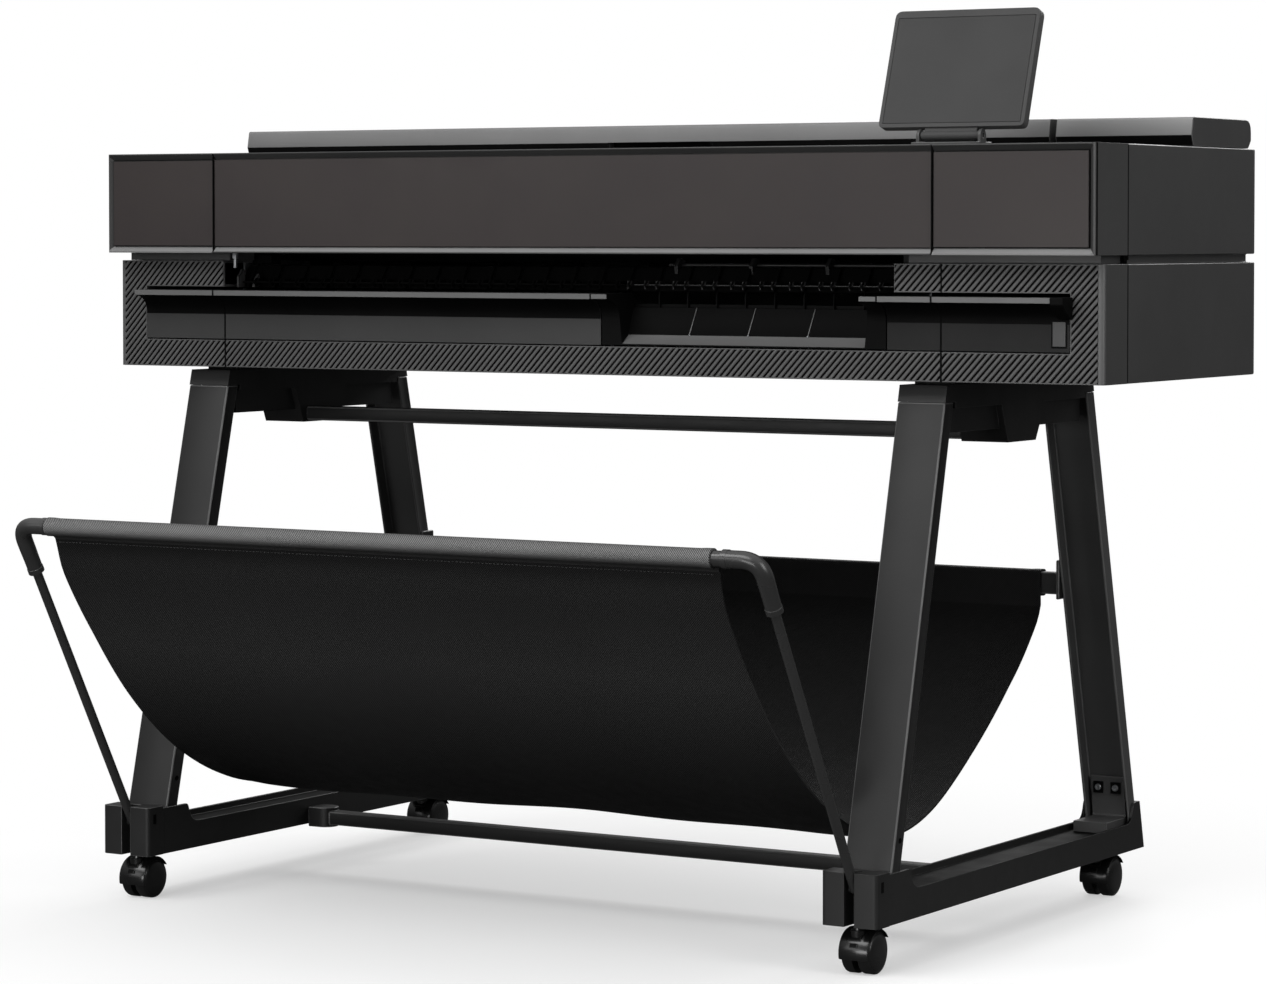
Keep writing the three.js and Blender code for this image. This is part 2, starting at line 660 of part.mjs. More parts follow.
function driveRoller() {
  const { y, z, radius, journal } = ROLLER;
  return turnedX([
    [0, -580], [journal, -580], [24, -579.9], [24, -571], [journal, -570.9], [journal, -545], [radius, -545],
    [radius, 441], [journal, 441], [journal, 452], [0, 452],
  ], y, z);
}

function pinchBar() {
  const bar = prism('x', [[192, 805], [212, 805], [212, 816], [192, 816]], -545, 441);
  const wheels = [];
  for (let i = 0; i < 8; i += 1) {
    wheels.push(rodX(202, 802.2, 4.6, -520 + i * 130, -490 + i * 130, 12));
  }
  return join(bar, ...wheels);
}

function carriageRail() {
  const { front, back, bottom, top } = RAIL;
  const lip = 5;
  const profile = [
    [front, bottom], [back, bottom], [back, top], [front, top], [front, top - lip], [back - 4, top - lip],
    [back - 4, bottom + lip], [front, bottom + lip],
  ];
  return prism('x', profile, -636, 636);
}

function carriage() {
  const profile = [[130, 822], [236, 822], [236, 912], [160, 912, 8], [128, 880, 10]];
  const x0 = CARRIAGE_HOME - 60;
  const x1 = CARRIAGE_HOME + 60;
  const heads = box(x0 + 12, x1 - 12, 140, 226, 818.5, 823);
  const tongue = box(x0 + 10, x1 - 10, 235, RAIL.back - 4.8, RAIL.bottom + 8, RAIL.top - 8);
  return join(prism('x', profile, x0, x1), heads, tongue);
}

function cutter() {
  return join(
    prism('x', [[100, 801.2], [122, 801.2], [122, 812], [116, 816, 3], [100, 814, 3]], -545, -512),
    rodX(111, 807.5, 6, -549, -544, 16),
  );
}

function serviceStation() {
  const body = cut(
    box(455, 652, 112, 234, 673.5, 806),
    box(462, 645, 118, 228, 780, 807),
    box(458, 649, 108, 216, 676, 770),
  );
  const caps = [0, 1, 2, 3].map((i) => box(500 + i * 28, 520 + i * 28, 135, 205, 775, 814));
  return join(body, ...caps);
}

// The spindle that carries the paper roll, with a flange at each end.
function spindle() {
  const { y, z, radius, journal } = SPINDLE;
  return turnedX([
    [0, -566], [14, -566], [14, -558], [journal, -558], [journal, -547], [42, -547], [42, -541], [25, -538],
    [25, -505], [radius, -503], [radius, 398], [25, 400], [25, 434], [42, 437], [42, 442], [journal, 442],
    [journal, 453], [14, 453], [14, 461], [0, 461],
  ], y, z, 16);
}

function inkCartridge(index) {
  const x = -688 + index * 46;
  return join(
    box(x, x + 40, 16, 108, UPPER_BOTTOM + WALL + GAP, 914),
    box(x + 12, x + 28, 13.5, 17, 850, 890),
  );
}

// ---------- stand ----------

// A foot beam: channel with raised ends, and the slotted block that holds the basket's pivot.
function foot(x) {
  const side = [
    [FOOT_FRONT, FOOT_BOTTOM], [FOOT_BACK, FOOT_BOTTOM], [FOOT_BACK - 14, FOOT_END_TOP + 2],
    [FOOT_BACK - 32, FOOT_END_TOP + 2, 6], [FOOT_BACK - 40, FOOT_TOP, 14], [-34, FOOT_TOP, 14],
    [-42, FOOT_END_TOP, 4], [FOOT_FRONT, FOOT_END_TOP],
  ];
  const block = [
    [x - FOOT_HALF - 1, FOOT_FRONT + 0.5], [x - FOOT_HALF - 1, -125, 6], [x + FOOT_HALF + 1, -125, 6],
    [x + FOOT_HALF + 1, FOOT_FRONT + 0.5],
  ];
  const channel = [
    [FOOT_FRONT + 4, FOOT_FLOOR], [595.2, FOOT_FLOOR], [584.2, 130], [FOOT_FRONT + 4, 130],
  ];
  const slotHalf = 6.7;
  return cut(
    join(
      cut(
        prism('x', side, x - FOOT_HALF, x + FOOT_HALF),
        prism('x', channel, x - LEG_HALF - 0.6, x + LEG_HALF + 0.6),
      ),
      prism('z', block, FOOT_BOTTOM, FOOT_END_TOP + 3),
    ),
    box(x - slotHalf, x + slotHalf, -130, -102, FOOT_BOTTOM - 1, 130),
    rodX(BASKET_PIVOT.y, BASKET_PIVOT.z, 3.4, x - 24, x + 24, 16),
  );
}

// A channel leg: its section is swept up a slanting line, so its ends stay level.
function leg(x, line, facing, bottom, top) {
  const inner = LEG_HALF - LEG_SHEET;
  const corners = [
    [-LEG_HALF, 0, 2], [LEG_HALF, 0, 2], [LEG_HALF, LEG_FLANGE], [inner, LEG_FLANGE], [inner, LEG_SHEET],
    [-inner, LEG_SHEET], [-inner, LEG_FLANGE], [-LEG_HALF, LEG_FLANGE],
  ].map(([a, b, radius]) => [a, b * facing, radius]);
  const geometry = new THREE.ExtrudeGeometry(outline(corners), {
    depth: top - bottom, bevelEnabled: false, curveSegments: 2,
  });
  const lean = new THREE.Matrix4().set(
    1, 0, 0, x,
    0, 1, line.slope, line.y + (bottom - line.z) * line.slope,
    0, 0, 1, bottom,
    0, 0, 0, 1,
  );
  geometry.applyMatrix4(lean);
  return solid(geometry);
}

function lineY(line, z) {
  return line.y + (z - line.z) * line.slope;
}

// The channel that joins the leg tops under the body. Its sides step in under the upper band, in front of
// and behind the middle drop that holds the cross bar.
function bridge(x) {
  const top = 665;
  const bottom = LEG_TOP + GAP;
  const band = 638;
  const skirt = 609;
  const low = 592;
  const [front, back] = [77, 433];
  const dropFront = [[198, band + 2], [209, skirt], [216, low]];
  const dropBack = [[292, low], [302, skirt], [314, band + 2]];
  const inner = LEG_HALF - LEG_SHEET;
  const stepped = LEG_HALF - 8;
  const plate = [
    [lineY(REAR_LEG, bottom), bottom], [lineY(REAR_LEG, top), top], [lineY(FRONT_LEG, top), top],
    [lineY(FRONT_LEG, bottom), bottom], [front, bottom], [front, band], ...dropFront, ...dropBack,
    [back, band], [back, bottom],
  ];
  const skirtProfile = [[front, skirt], [back, skirt], [back, band + 3], [front, band + 3]];
  const endWall = (line, thick) => prism('x', [
    ...line, ...line.map(([y, z]) => [y + thick, z]).reverse(),
  ], x - LEG_HALF, x + LEG_HALF);
  const ledge = (x0, x1) => box(x0, x1, front, back, band, band + 2.5);
  const pad = (y0, y1) => box(x - 26, x + 26, y0, y1, top - 1, BODY_BOTTOM - GAP);
  return join(
    cut(
      prism('x', plate, x - LEG_HALF, x + LEG_HALF),
      box(x - inner, x + inner, front - 1, back + 1, low - 10, top - LEG_SHEET),
    ),
    cut(
      prism('x', skirtProfile, x - stepped, x + stepped),
      box(x - stepped + LEG_SHEET, x + stepped - LEG_SHEET, front - 1, back + 1, low, band + 10),
    ),
    ledge(x - LEG_HALF, x - stepped + 1),
    ledge(x + stepped - 1, x + LEG_HALF),
    endWall(dropFront, 3),
    endWall(dropBack, -3),
    pad(84, 130),
    pad(380, 426),
  );
}

// Angle bracket that ties the rear leg to the foot, inside the leg's channel.
function legBracket(x) {
  const half = 23;
  const back = lineY(REAR_LEG, 120) - LEG_SHEET - 1;
  const floor = FOOT_FLOOR + GAP;
  const profile = [
    [back - 64, floor], [back + (118 - 84) * -REAR_LEG.slope - 1.5, floor], [back - 8, 150],
    [back - 13, 150], [back - 6, 98, 4], [back - 64, 98],
  ];
  const pocket = (cx) => box(cx - 7, cx + 7, back - 40, back - 11, 128, 143);
  return cut(prism('x', profile, x - half, x + half), pocket(x - 12), pocket(x + 12));
}

function upperBar() {
  const [left, right] = STAND_X;
  const profile = [[221, 594, 4], [243, 594, 4], [243, 613, 4], [221, 613, 4]];
  return prism('x', profile, left + LEG_HALF + GAP, right - LEG_HALF - GAP, 2);
}

function lowerBar() {
  const [left, right] = STAND_X;
  const x0 = left + FOOT_HALF + GAP;
  const x1 = right - FOOT_HALF - GAP;
  const profile = [[224, 57, 3], [246, 57, 3], [246, 75, 3], [224, 75, 3]];
  return join(
    prism('x', profile, x0 + 1, x1 - 1, 2),
    box(x0, x0 + 17, 218, 252, 54, 80),
    rodZ(x0 + 17, 235, 17, 54, 80),
    box(x1 - 17, x1, 218, 252, 54, 80),
    rodZ(x1 - 17, 235, 17, 54, 80),
  );
}

// ---------- casters ----------

// The hood covers the top and front of both wheels; a web between them carries the axle and the stem.
function casterHousing() {
  const hoodRadius = CASTER_RADIUS + 2.6;
  const shell = cut(
    rodX(0, CASTER_RADIUS, hoodRadius, -CASTER_HALF + 1, CASTER_HALF - 1, 24),
    rodX(0, CASTER_RADIUS, CASTER_RADIUS + 0.9, -CASTER_HALF, CASTER_HALF, 24),
    prism('x', [[-30, -5], [40, -5], [40, 40], [14, 40], [0, CASTER_RADIUS], [-30, 15]],
      -CASTER_HALF, CASTER_HALF),
  );
  const web = cut(
    rodX(0, CASTER_RADIUS, CASTER_RADIUS + 1.5, -2, 2, 24),
    prism('x', [[-30, -5], [40, -5], [40, 30], [12, 17], [-30, 17]], -3, 3),
  );
  const hub = rodX(0, CASTER_RADIUS, 8, -2, 2, 16);
  const stem = cut(
    rodZ(0, -CASTER_TRAIL, 5.5, 40, FOOT_BOTTOM - GAP, 16),
    rodX(0, CASTER_RADIUS, CASTER_RADIUS + 0.9, -CASTER_HALF, CASTER_HALF, 24),
  );
  return cut(
    join(shell, web, hub, stem),
    rodX(0, CASTER_RADIUS, 4.4, -5, 5, 16),
  );
}

// Two wheels on one axle, each with a domed disc outside.
function casterWheels() {
  const tread = CASTER_RADIUS;
  const rim = CASTER_HALF;
  return turnedX([
    [0, -rim - 1.2], [16, -rim], [tread - 2, -rim + 1.4], [tread, -rim + 3.4], [tread, -3.4],
    [tread - 0.6, -2.8], [4, -2.8], [4, 2.8], [tread - 0.6, 2.8], [tread, 3.4], [tread, rim - 3.4],
    [tread - 2, rim - 1.4], [16, rim], [0, rim + 1.2],
  ], 0, CASTER_RADIUS, 24);
}

// ---------- basket ----------

// U frame: two rods from the foot pivots, elbows and the front bar.
function basketFrame() {
  const [left, right] = STAND_X;
  const low = new THREE.Vector3(0, BASKET_PIVOT.y, BASKET_PIVOT.z);
  const high = new THREE.Vector3(0, BASKET_BAR.y, BASKET_BAR.z);
  const up = high.clone().sub(low).normalize();
  const at = (x, back) => new THREE.Vector3(x, high.y, high.z).addScaledVector(up, -back);
  const rod = (x) => sweptBar(new THREE.LineCurve3(new THREE.Vector3(x, low.y, low.z), at(x, 40)), 5.8, 1);
  const elbow = (x, inward) => {
    const bend = 30;
    const path = new THREE.CurvePath();
    path.add(new THREE.LineCurve3(at(x, 78), at(x, bend)));
    path.add(new THREE.QuadraticBezierCurve3(at(x, bend), at(x, 0), at(x + inward * bend, 0)));
    path.add(new THREE.LineCurve3(at(x + inward * bend, 0), at(x + inward * 45, 0)));
    return sweptBar(path, 10, 12);
  };
  return join(
    rodX(BASKET_BAR.y, BASKET_BAR.z, BASKET_BAR.radius, left + 30, right - 30, 16),
    elbow(left, 1),
    elbow(right, -1),
    rod(left),
    rod(right),
    rodX(low.y, low.z, 3, left - 22, left + 22, 16),
    rodX(low.y, low.z, 3, right - 22, right + 22, 16),
  );
}

// The cloth hangs in one curve from the front sleeve to the rear sleeve.
function basketCloth() {
  const sag = [
    [-324, 477], [-300, 424], [-250, 350], [-180, 268], [-95, 198], [0, 150], [95, 129], [200, 148],
    [320, 212], [420, 284], [478, 344], [500, 384],
  ];
  const curve = new THREE.SplineCurve(sag.map(([y, z]) => new THREE.Vector2(y, z)));
  const steps = 26;
  const upper = [];
  const lower = [];
  for (let i = 0; i <= steps; i += 1) {
    const point = curve.getPointAt(i / steps);
    const along = curve.getTangentAt(i / steps);
    const across = new THREE.Vector2(-along.y, along.x).multiplyScalar(CLOTH_THICK / 2);
    upper.push([point.x + across.x, point.y + across.y]);
    lower.unshift([point.x - across.x, point.y - across.y]);
  }
  const { y, z, halfDepth, halfHeight } = REAR_BAR;
  const wall = 2.4;
  return cut(
    join(
      prism('x', [...upper, ...lower], CLOTH_LEFT, CLOTH_RIGHT),
      rodX(BASKET_BAR.y, BASKET_BAR.z, SLEEVE_RADIUS, CLOTH_LEFT, CLOTH_RIGHT, 24),
      box(CLOTH_LEFT, CLOTH_RIGHT, y - halfDepth - GAP - wall, y + halfDepth + GAP + wall,
        z - halfHeight - GAP - wall, z + halfHeight + GAP + wall),
    ),
    rodX(BASKET_BAR.y, BASKET_BAR.z, BASKET_BAR.radius + 0.5, CLOTH_LEFT - 1, CLOTH_RIGHT + 1, 24),
    box(CLOTH_LEFT - 1, CLOTH_RIGHT + 1, y - halfDepth - GAP, y + halfDepth + GAP,
      z - halfHeight - GAP, z + halfHeight + GAP),
  );
}

function basketRearBar() {
  const [left, right] = STAND_X;
  const { y, z, halfDepth, halfHeight } = REAR_BAR;
  const x0 = left + LEG_HALF + GAP;
  const x1 = right - LEG_HALF - GAP;
  return join(
    box(x0, x1, y - halfDepth, y + halfDepth, z - halfHeight, z + halfHeight),
    box(x0, x0 + 4, y - 10, y + 16, z - 20, z + 30),
    box(x1 - 4, x1, y - 10, y + 16, z - 20, z + 30),
  );
}

// ---------- assembly ----------

for (const side of bySide) {
  part(`${side}_cap`, cap(side), shellPlastic);
  part(`${side}_side_cover`, sideCover(side), shellPlastic);
  part(`${side}_cheek`, cheek(side), ribbedPlastic);
}
part('left_ink_door', insetDoor('left'), glossPanel);
part('right_service_door', insetDoor('right'), glossPanel);
part('window_frame', windowFrame(), shellPlastic);
part('window_pane', windowPane(), glossPanel);
part('top_deck', topDeck(), shellPlastic);
part('rear_cover', rearCover(), shellPlastic);
part('power_inlet', powerInlet(), innerPlastic);
const rocker = part('power_switch', powerSwitch(), innerPlastic);
rocker.position.set(SWITCH.x, BODY_BACK, SWITCH.z);
rocker.rotation.x = THREE.MathUtils.degToRad(ROCKER_TILT);

part('roll_cover', rollCover(), lidPlastic);
part('right_top_cover', lid(LID_SPLIT + 8, LID_RIGHT), lidPlastic);

part('panel_foot', panelFoot(), shellPlastic);
const housing = part('control_panel', panelHousing(), shellPlastic);
const screen = part('panel_screen', panelScreen(), screenGlass);
for (const piece of [housing, screen]) {
  piece.position.set(PANEL_X, PANEL_PIVOT.y, PANEL_PIVOT.z);
  piece.rotation.x = THREE.MathUtils.degToRad(-PANEL_LEAN);
}

part('lower_front_strip', lowerFrontStrip(), ribbedPlastic);
part('left_deflector', deflector(DEFLECTOR_LEFT, SHELF_LEFT - SEAM / 2, LEFT_SEAM), shellPlastic);
part('right_deflector', deflector(SHELF_RIGHT + SEAM / 2, DEFLECTOR_RIGHT, RIGHT_SEAM), shellPlastic);
part('output_shelf', outputShelf(), shellPlastic);

part('base_pan', basePan(), sheetSteel);
part('left_end_frame', endFrame(PLATE_LEFT), sheetSteel);
part('right_end_frame', endFrame(PLATE_RIGHT), sheetSteel);
part('platen', platen(), innerPlastic);
part('drive_roller', driveRoller(), innerPlastic);
part('pinch_bar', pinchBar(), innerPlastic);
part('carriage_rail', carriageRail(), sheetSteel);
part('carriage', carriage(), innerPlastic);
part('cutter', cutter(), innerPlastic);
part('service_station', serviceStation(), innerPlastic);
part('spindle', spindle(), innerPlastic);
for (let i = 0; i < 3; i += 1) {
  part(`ink_cartridge_${i + 1}`, inkCartridge(i), inkPlastic);
}

STAND_X.forEach((x, i) => {
  const side = bySide[i];
  part(`${side}_foot`, foot(x), standPaint);
  part(`${side}_front_leg`, leg(x, FRONT_LEG, 1, FOOT_FLOOR + GAP, LEG_TOP), standPaint);
  part(`${side}_rear_leg`, leg(x, REAR_LEG, -1, FOOT_FLOOR + GAP, LEG_TOP), standPaint);
  part(`${side}_bridge`, bridge(x), standPaint);
  part(`${side}_leg_bracket`, legBracket(x), standPaint);
  CASTER_Y.forEach((y, j) => {
    const place = `${side}_${['front', 'rear'][j]}`;
    part(`${place}_caster_housing`, casterHousing(), casterPlastic).position.set(x, y, 0);
    part(`${place}_caster_wheels`, casterWheels(), tyreRubber).position.set(x, y, 0);
  });
});
part('upper_bar', upperBar(), standPaint);
part('lower_bar', lowerBar(), standPaint);
part('basket_frame', basketFrame(), barGloss);
part('basket_cloth', basketCloth(), basketFabric);
part('basket_rear_bar', basketRearBar(), standPaint);

plotter.position.y = -MIDDLE_Y;

export default plotter;
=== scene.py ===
import math

import bmesh
import bpy
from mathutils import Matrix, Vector


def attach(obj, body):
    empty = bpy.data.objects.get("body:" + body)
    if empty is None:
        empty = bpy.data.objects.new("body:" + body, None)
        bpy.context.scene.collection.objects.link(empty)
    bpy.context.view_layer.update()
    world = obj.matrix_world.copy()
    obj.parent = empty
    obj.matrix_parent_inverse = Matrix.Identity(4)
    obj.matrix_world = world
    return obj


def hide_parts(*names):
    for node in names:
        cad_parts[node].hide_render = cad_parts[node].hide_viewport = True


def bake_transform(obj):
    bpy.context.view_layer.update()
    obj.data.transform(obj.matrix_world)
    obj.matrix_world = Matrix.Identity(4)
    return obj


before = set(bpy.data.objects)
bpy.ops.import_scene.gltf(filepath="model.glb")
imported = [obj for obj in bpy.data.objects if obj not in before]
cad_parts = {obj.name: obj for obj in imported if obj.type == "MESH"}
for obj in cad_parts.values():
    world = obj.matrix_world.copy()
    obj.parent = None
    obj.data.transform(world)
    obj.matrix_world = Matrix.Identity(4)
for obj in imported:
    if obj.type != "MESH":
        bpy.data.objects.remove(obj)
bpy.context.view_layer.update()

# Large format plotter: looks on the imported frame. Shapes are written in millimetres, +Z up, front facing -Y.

MM = 0.001

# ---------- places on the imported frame, in millimetres ----------

BODY_SIDE = 701.5                # outer side of the body, left and right
BODY_BACK = 343.0                # rear cover's outer face
BODY_BOTTOM = 670.0
BODY_TOP = 943.5
FRONT_PLANE = -104.0             # face of the cheeks and the bottom strip
CAP_FACE = -132.0                # foremost face of the caps and the deflectors' lips
LOWER_TOP = 806.5                # top of the lower section
UPPER_BOTTOM = 816.5             # bottom of the upper section
STRIP_TOP = 705.0                # top of the bottom strip
LEFT_SEAM, RIGHT_SEAM = -530.5, 496.0
STAND_X = {"left": -575.5, "right": 458.5}
CASTER_Y = {"front": -220.0, "rear": 423.0}
BAR_Y, BAR_Z = -462.0, 487.0     # middle of the basket's front bar
PIVOT_Y, PIVOT_Z = -243.0, 98.0  # pivots of the basket's rods

# ---------- materials ----------


def level(r, g=None, b=None):
    """A grey or a colour in screen levels, 0 to 255, as linear RGBA."""
    def linear(v):
        c = v / 255
        return c / 12.92 if c <= 0.04045 else ((c + 0.055) / 1.055) ** 2.4

    return (linear(r), linear(r if g is None else g), linear(r if b is None else b), 1)


def new_material(name):
    mat = bpy.data.materials.new(name)
    mat.use_nodes = True
    tree = mat.node_tree
    shader = tree.nodes["Principled BSDF"]
    coords = tree.nodes.new("ShaderNodeTexCoord")
    return mat, tree, shader, coords


def noise(tree, vector, scale, detail=3.0, roughness=0.55):
    node = tree.nodes.new("ShaderNodeTexNoise")
    node.inputs["Scale"].default_value = scale
    node.inputs["Detail"].default_value = detail
    node.inputs["Roughness"].default_value = roughness
    tree.links.new(vector, node.inputs["Vector"])
    return node.outputs["Fac"]


def ramp(tree, fac, stops):
    node = tree.nodes.new("ShaderNodeValToRGB")
    while len(node.color_ramp.elements) < len(stops):
        node.color_ramp.elements.new(0.5)
    for element, (place, colour) in zip(node.color_ramp.elements, stops):
        element.position = place
        element.color = colour
    tree.links.new(fac, node.inputs["Fac"])
    return node.outputs["Color"]


def spread(tree, fac, low, high, start=0.3, end=0.7):
    node = tree.nodes.new("ShaderNodeMapRange")
    node.inputs["From Min"].default_value = start
    node.inputs["From Max"].default_value = end
    node.inputs["To Min"].default_value = low
    node.inputs["To Max"].default_value = high
    tree.links.new(fac, node.inputs["Value"])
    return node.outputs["Result"]


def bumped(tree, height, strength, distance, under=None):
    node = tree.nodes.new("ShaderNodeBump")
    node.inputs["Strength"].default_value = strength
    node.inputs["Distance"].default_value = distance
    tree.links.new(height, node.inputs["Height"])
    if under is not None:
        tree.links.new(under, node.inputs["Normal"])
    return node.outputs["Normal"]


def moulded(name, dark, light, rough, grain=900.0, depth=0.00012, strength=0.35, specular=0.5,
            orange_peel=0.0):
    """Moulded plastic or paint: two near tones in soft patches, an uneven gloss and a fine grain."""
    mat, tree, shader, coords = new_material(name)
    point = coords.outputs["Object"]
    tint = ramp(tree, noise(tree, point, 7.0, 4.0), [(0.35, dark), (0.68, light)])
    tree.links.new(tint, shader.inputs["Base Color"])
    patches = noise(tree, point, 24.0, 4.0, 0.5)
    tree.links.new(spread(tree, patches, rough[0], rough[1]), shader.inputs["Roughness"])
    normal = bumped(tree, noise(tree, point, grain, 2.0), strength, depth)
    if orange_peel:
        normal = bumped(tree, noise(tree, point, 160.0, 1.0), orange_peel, 0.0004, normal)
    tree.links.new(normal, shader.inputs["Normal"])
    shader.inputs["Specular IOR Level"].default_value = specular
    return mat


def brushed(name):
    """Zinc plated sheet with its rolling lines along X."""
    mat, tree, shader, coords = new_material(name)
    stretch = tree.nodes.new("ShaderNodeMapping")
    stretch.inputs["Scale"].default_value = (6.0, 900.0, 900.0)
    tree.links.new(coords.outputs["Object"], stretch.inputs["Vector"])
    lines = noise(tree, stretch.outputs["Vector"], 1.0, 4.0)
    clouds = noise(tree, coords.outputs["Object"], 24.0, 4.0)
    tree.links.new(ramp(tree, clouds, [(0.3, level(140, 142, 145)), (0.7, level(176, 178, 180))]),
                   shader.inputs["Base Color"])
    tree.links.new(spread(tree, lines, 0.28, 0.46), shader.inputs["Roughness"])
    tree.links.new(bumped(tree, lines, 0.2, 0.0001), shader.inputs["Normal"])
    shader.inputs["Metallic"].default_value = 0.9
    return mat


def twill(name, rear_sleeve):
    """Black woven cloth in the sheet's flat measure: diagonal wales over threads, painted light and shade
    along the sag, and a shiny front sleeve with a painted highlight over the bar.

    UV is metres across and along the sheet from the front hem, and rear_sleeve is where the rear one starts.
    """
    mat, tree, shader, coords = new_material(name)
    cloth = coords.outputs["UV"]

    def wave(scale, direction):
        node = tree.nodes.new("ShaderNodeTexWave")
        node.wave_type = "BANDS"
        node.bands_direction = direction
        node.inputs["Scale"].default_value = scale
        node.inputs["Distortion"].default_value = 0.25
        node.inputs["Detail"].default_value = 1.0
        node.inputs["Detail Scale"].default_value = 2.0
        tree.links.new(cloth, node.inputs["Vector"])
        return node.outputs["Fac"]

    split = tree.nodes.new("ShaderNodeSeparateXYZ")
    tree.links.new(cloth, split.inputs["Vector"])
    along = split.outputs["Y"]
    # The front sleeve's share peaks over the top of the bar as a painted highlight, on a sleeve that is also
    # glossier; the rear sleeve gets a faint even share.
    front = ramp(tree, along, [(0.0, level(110)), (0.024, level(120)), (0.036, level(255)),
                               (0.048, level(225)), (0.066, level(120)), (0.078, level(0))])
    rear = spread(tree, along, 0.0, 0.05, rear_sleeve, rear_sleeve + 0.002)
    sleeve = tree.nodes.new("ShaderNodeMath")
    sleeve.operation = "MAXIMUM"
    tree.links.new(front, sleeve.inputs[0])
    tree.links.new(rear, sleeve.inputs[1])
    wale = wave(230.0, "DIAGONAL")
    thread = wave(520.0, "X")
    slub = noise(tree, cloth, 42.0, 5.0)
    shades = tree.nodes.new("ShaderNodeMix")
    shades.data_type = "RGBA"
    tree.links.new(sleeve.outputs["Value"], shades.inputs["Factor"])
    shine = spread(tree, sleeve.outputs["Value"], 0.1, 0.5, 0.1, 1.0)
    tree.links.new(shine, shader.inputs["Specular IOR Level"])
    # painted_sag_light is painted light and shade along the sheet: lightest 0.24 m from the front hem, darkest
    # at 0.56 m.
    painted_sag_light = ramp(tree, along, [(0.08, level(165)), (0.24, level(255)), (0.40, level(190)),
                              (0.56, level(80)), (0.75, level(130)), (1.0, level(110))])
    weave = ramp(tree, wale, [(0.2, level(34)), (0.9, level(66))])
    body = tree.nodes.new("ShaderNodeMix")
    body.data_type = "RGBA"
    body.blend_type = "MULTIPLY"
    body.inputs["Factor"].default_value = 1.0
    tree.links.new(painted_sag_light, body.inputs["A"])
    tree.links.new(weave, body.inputs["B"])
    tree.links.new(body.outputs["Result"], shades.inputs["A"])
    tree.links.new(ramp(tree, wale, [(0.2, level(48)), (0.9, level(132))]), shades.inputs["B"])
    tree.links.new(shades.outputs["Result"], shader.inputs["Base Color"])
    tree.links.new(spread(tree, slub, 0.50, 0.60), shader.inputs["Roughness"])
    threads = bumped(tree, thread, 0.25, 0.0002)
    tree.links.new(bumped(tree, wale, 0.6, 0.0006, threads), shader.inputs["Normal"])
    return mat


def ground_rubber(name):
    mat, tree, shader, coords = new_material(name)
    point = coords.outputs["Object"]
    tree.links.new(ramp(tree, noise(tree, point, 30.0, 4.0), [(0.3, level(14)), (0.7, level(26))]),
                   shader.inputs["Base Color"])
    tree.links.new(spread(tree, noise(tree, point, 120.0, 4.0), 0.5, 0.8), shader.inputs["Roughness"])
    tree.links.new(bumped(tree, noise(tree, point, 1400.0, 3.0), 0.5, 0.0002), shader.inputs["Normal"])
    return mat


FINISH = {
    "shell": moulded("shell_plastic", level(51), level(55), (0.42, 0.48)),
    "ribbed": moulded("ribbed_plastic", level(78), level(84), (0.42, 0.50), strength=0.2),
    "gloss_panel": moulded("gloss_panel", level(47, 42, 42), level(50, 45, 44), (0.30, 0.35), strength=0.12,
                           specular=0.25),
    # The pale lid tone is painted light: the top covers are made light for the light they catch from above.
    "lid": moulded("lid_plastic", level(112), level(118), (0.40, 0.47)),
    "inner_plastic": moulded("inner_plastic", level(5), level(9), (0.5, 0.62), specular=0.06),
    "rubber": ground_rubber("roller_rubber"),
    "sheet_steel": brushed("zinc_sheet"),
    "stand_paint": moulded("powder_coat", level(27), level(31), (0.42, 0.52), grain=620.0, depth=0.0002,
                           strength=0.4, orange_peel=0.08, specular=0.35),
    "caster_plastic": moulded("caster_plastic", level(12), level(18), (0.2, 0.3), strength=0.1),
    "wheel": moulded("wheel_plastic", level(16), level(24), (0.24, 0.40), strength=0.2),
    "bar_gloss": moulded("bar_gloss", level(46), level(52), (0.22, 0.32), strength=0.15, orange_peel=0.1),
    "basket_fabric": twill("basket_twill", rear_sleeve=1.128),
    "screen": moulded("screen_glass", level(58), level(62), (0.5, 0.56), strength=0.04, specular=0.12),
    "ink_plastic": moulded("ink_plastic", level(38, 42, 50), level(46, 50, 60), (0.35, 0.5)),
}
# Second materials for bevelled edges: the pale ones are painted highlights along the edges, and the dark gloss
# one is a painted shadow line round the panes and doors.
EDGE = {
    "shell": moulded("shell_edge", level(62), level(78), (0.30, 0.42)),
    "ribbed": moulded("ribbed_edge", level(62), level(74), (0.32, 0.44)),
    "gloss_panel": moulded("gloss_edge", level(8), level(13), (0.4, 0.5), specular=0.2),
    "lid": moulded("lid_edge", level(84), level(100), (0.30, 0.42)),
    "stand_paint": moulded("powder_edge", level(82), level(98), (0.30, 0.42)),
}
# Black for the seams, and also painted shade in vents, holes, recesses, under the top covers, on the frames'
# reveals and on the left star wheels.
BLACK_LINE = moulded("black_seams_and_painted_shade", level(2), level(5), (0.7, 0.9), specular=0.08)
# A paler tone for the deflectors' lips and the cut-out's sloping sill: painted light on faces that catch light
# from above.
LIP_PAINTED_LIGHT = moulded("lip_painted_light", level(84), level(90), (0.42, 0.5))
# A paler copy of the powder coat for the rear legs and their brackets: painted light on faces that turn down
# into shade.
REAR_STAND_PAINTED_LIGHT = moulded("powder_coat_rear_painted_light", level(62), level(68), (0.42, 0.52), grain=620.0, depth=0.0002,
                     strength=0.4)
DEFLECTOR_PLASTIC = moulded("deflector_plastic", level(38), level(42), (0.42, 0.5))
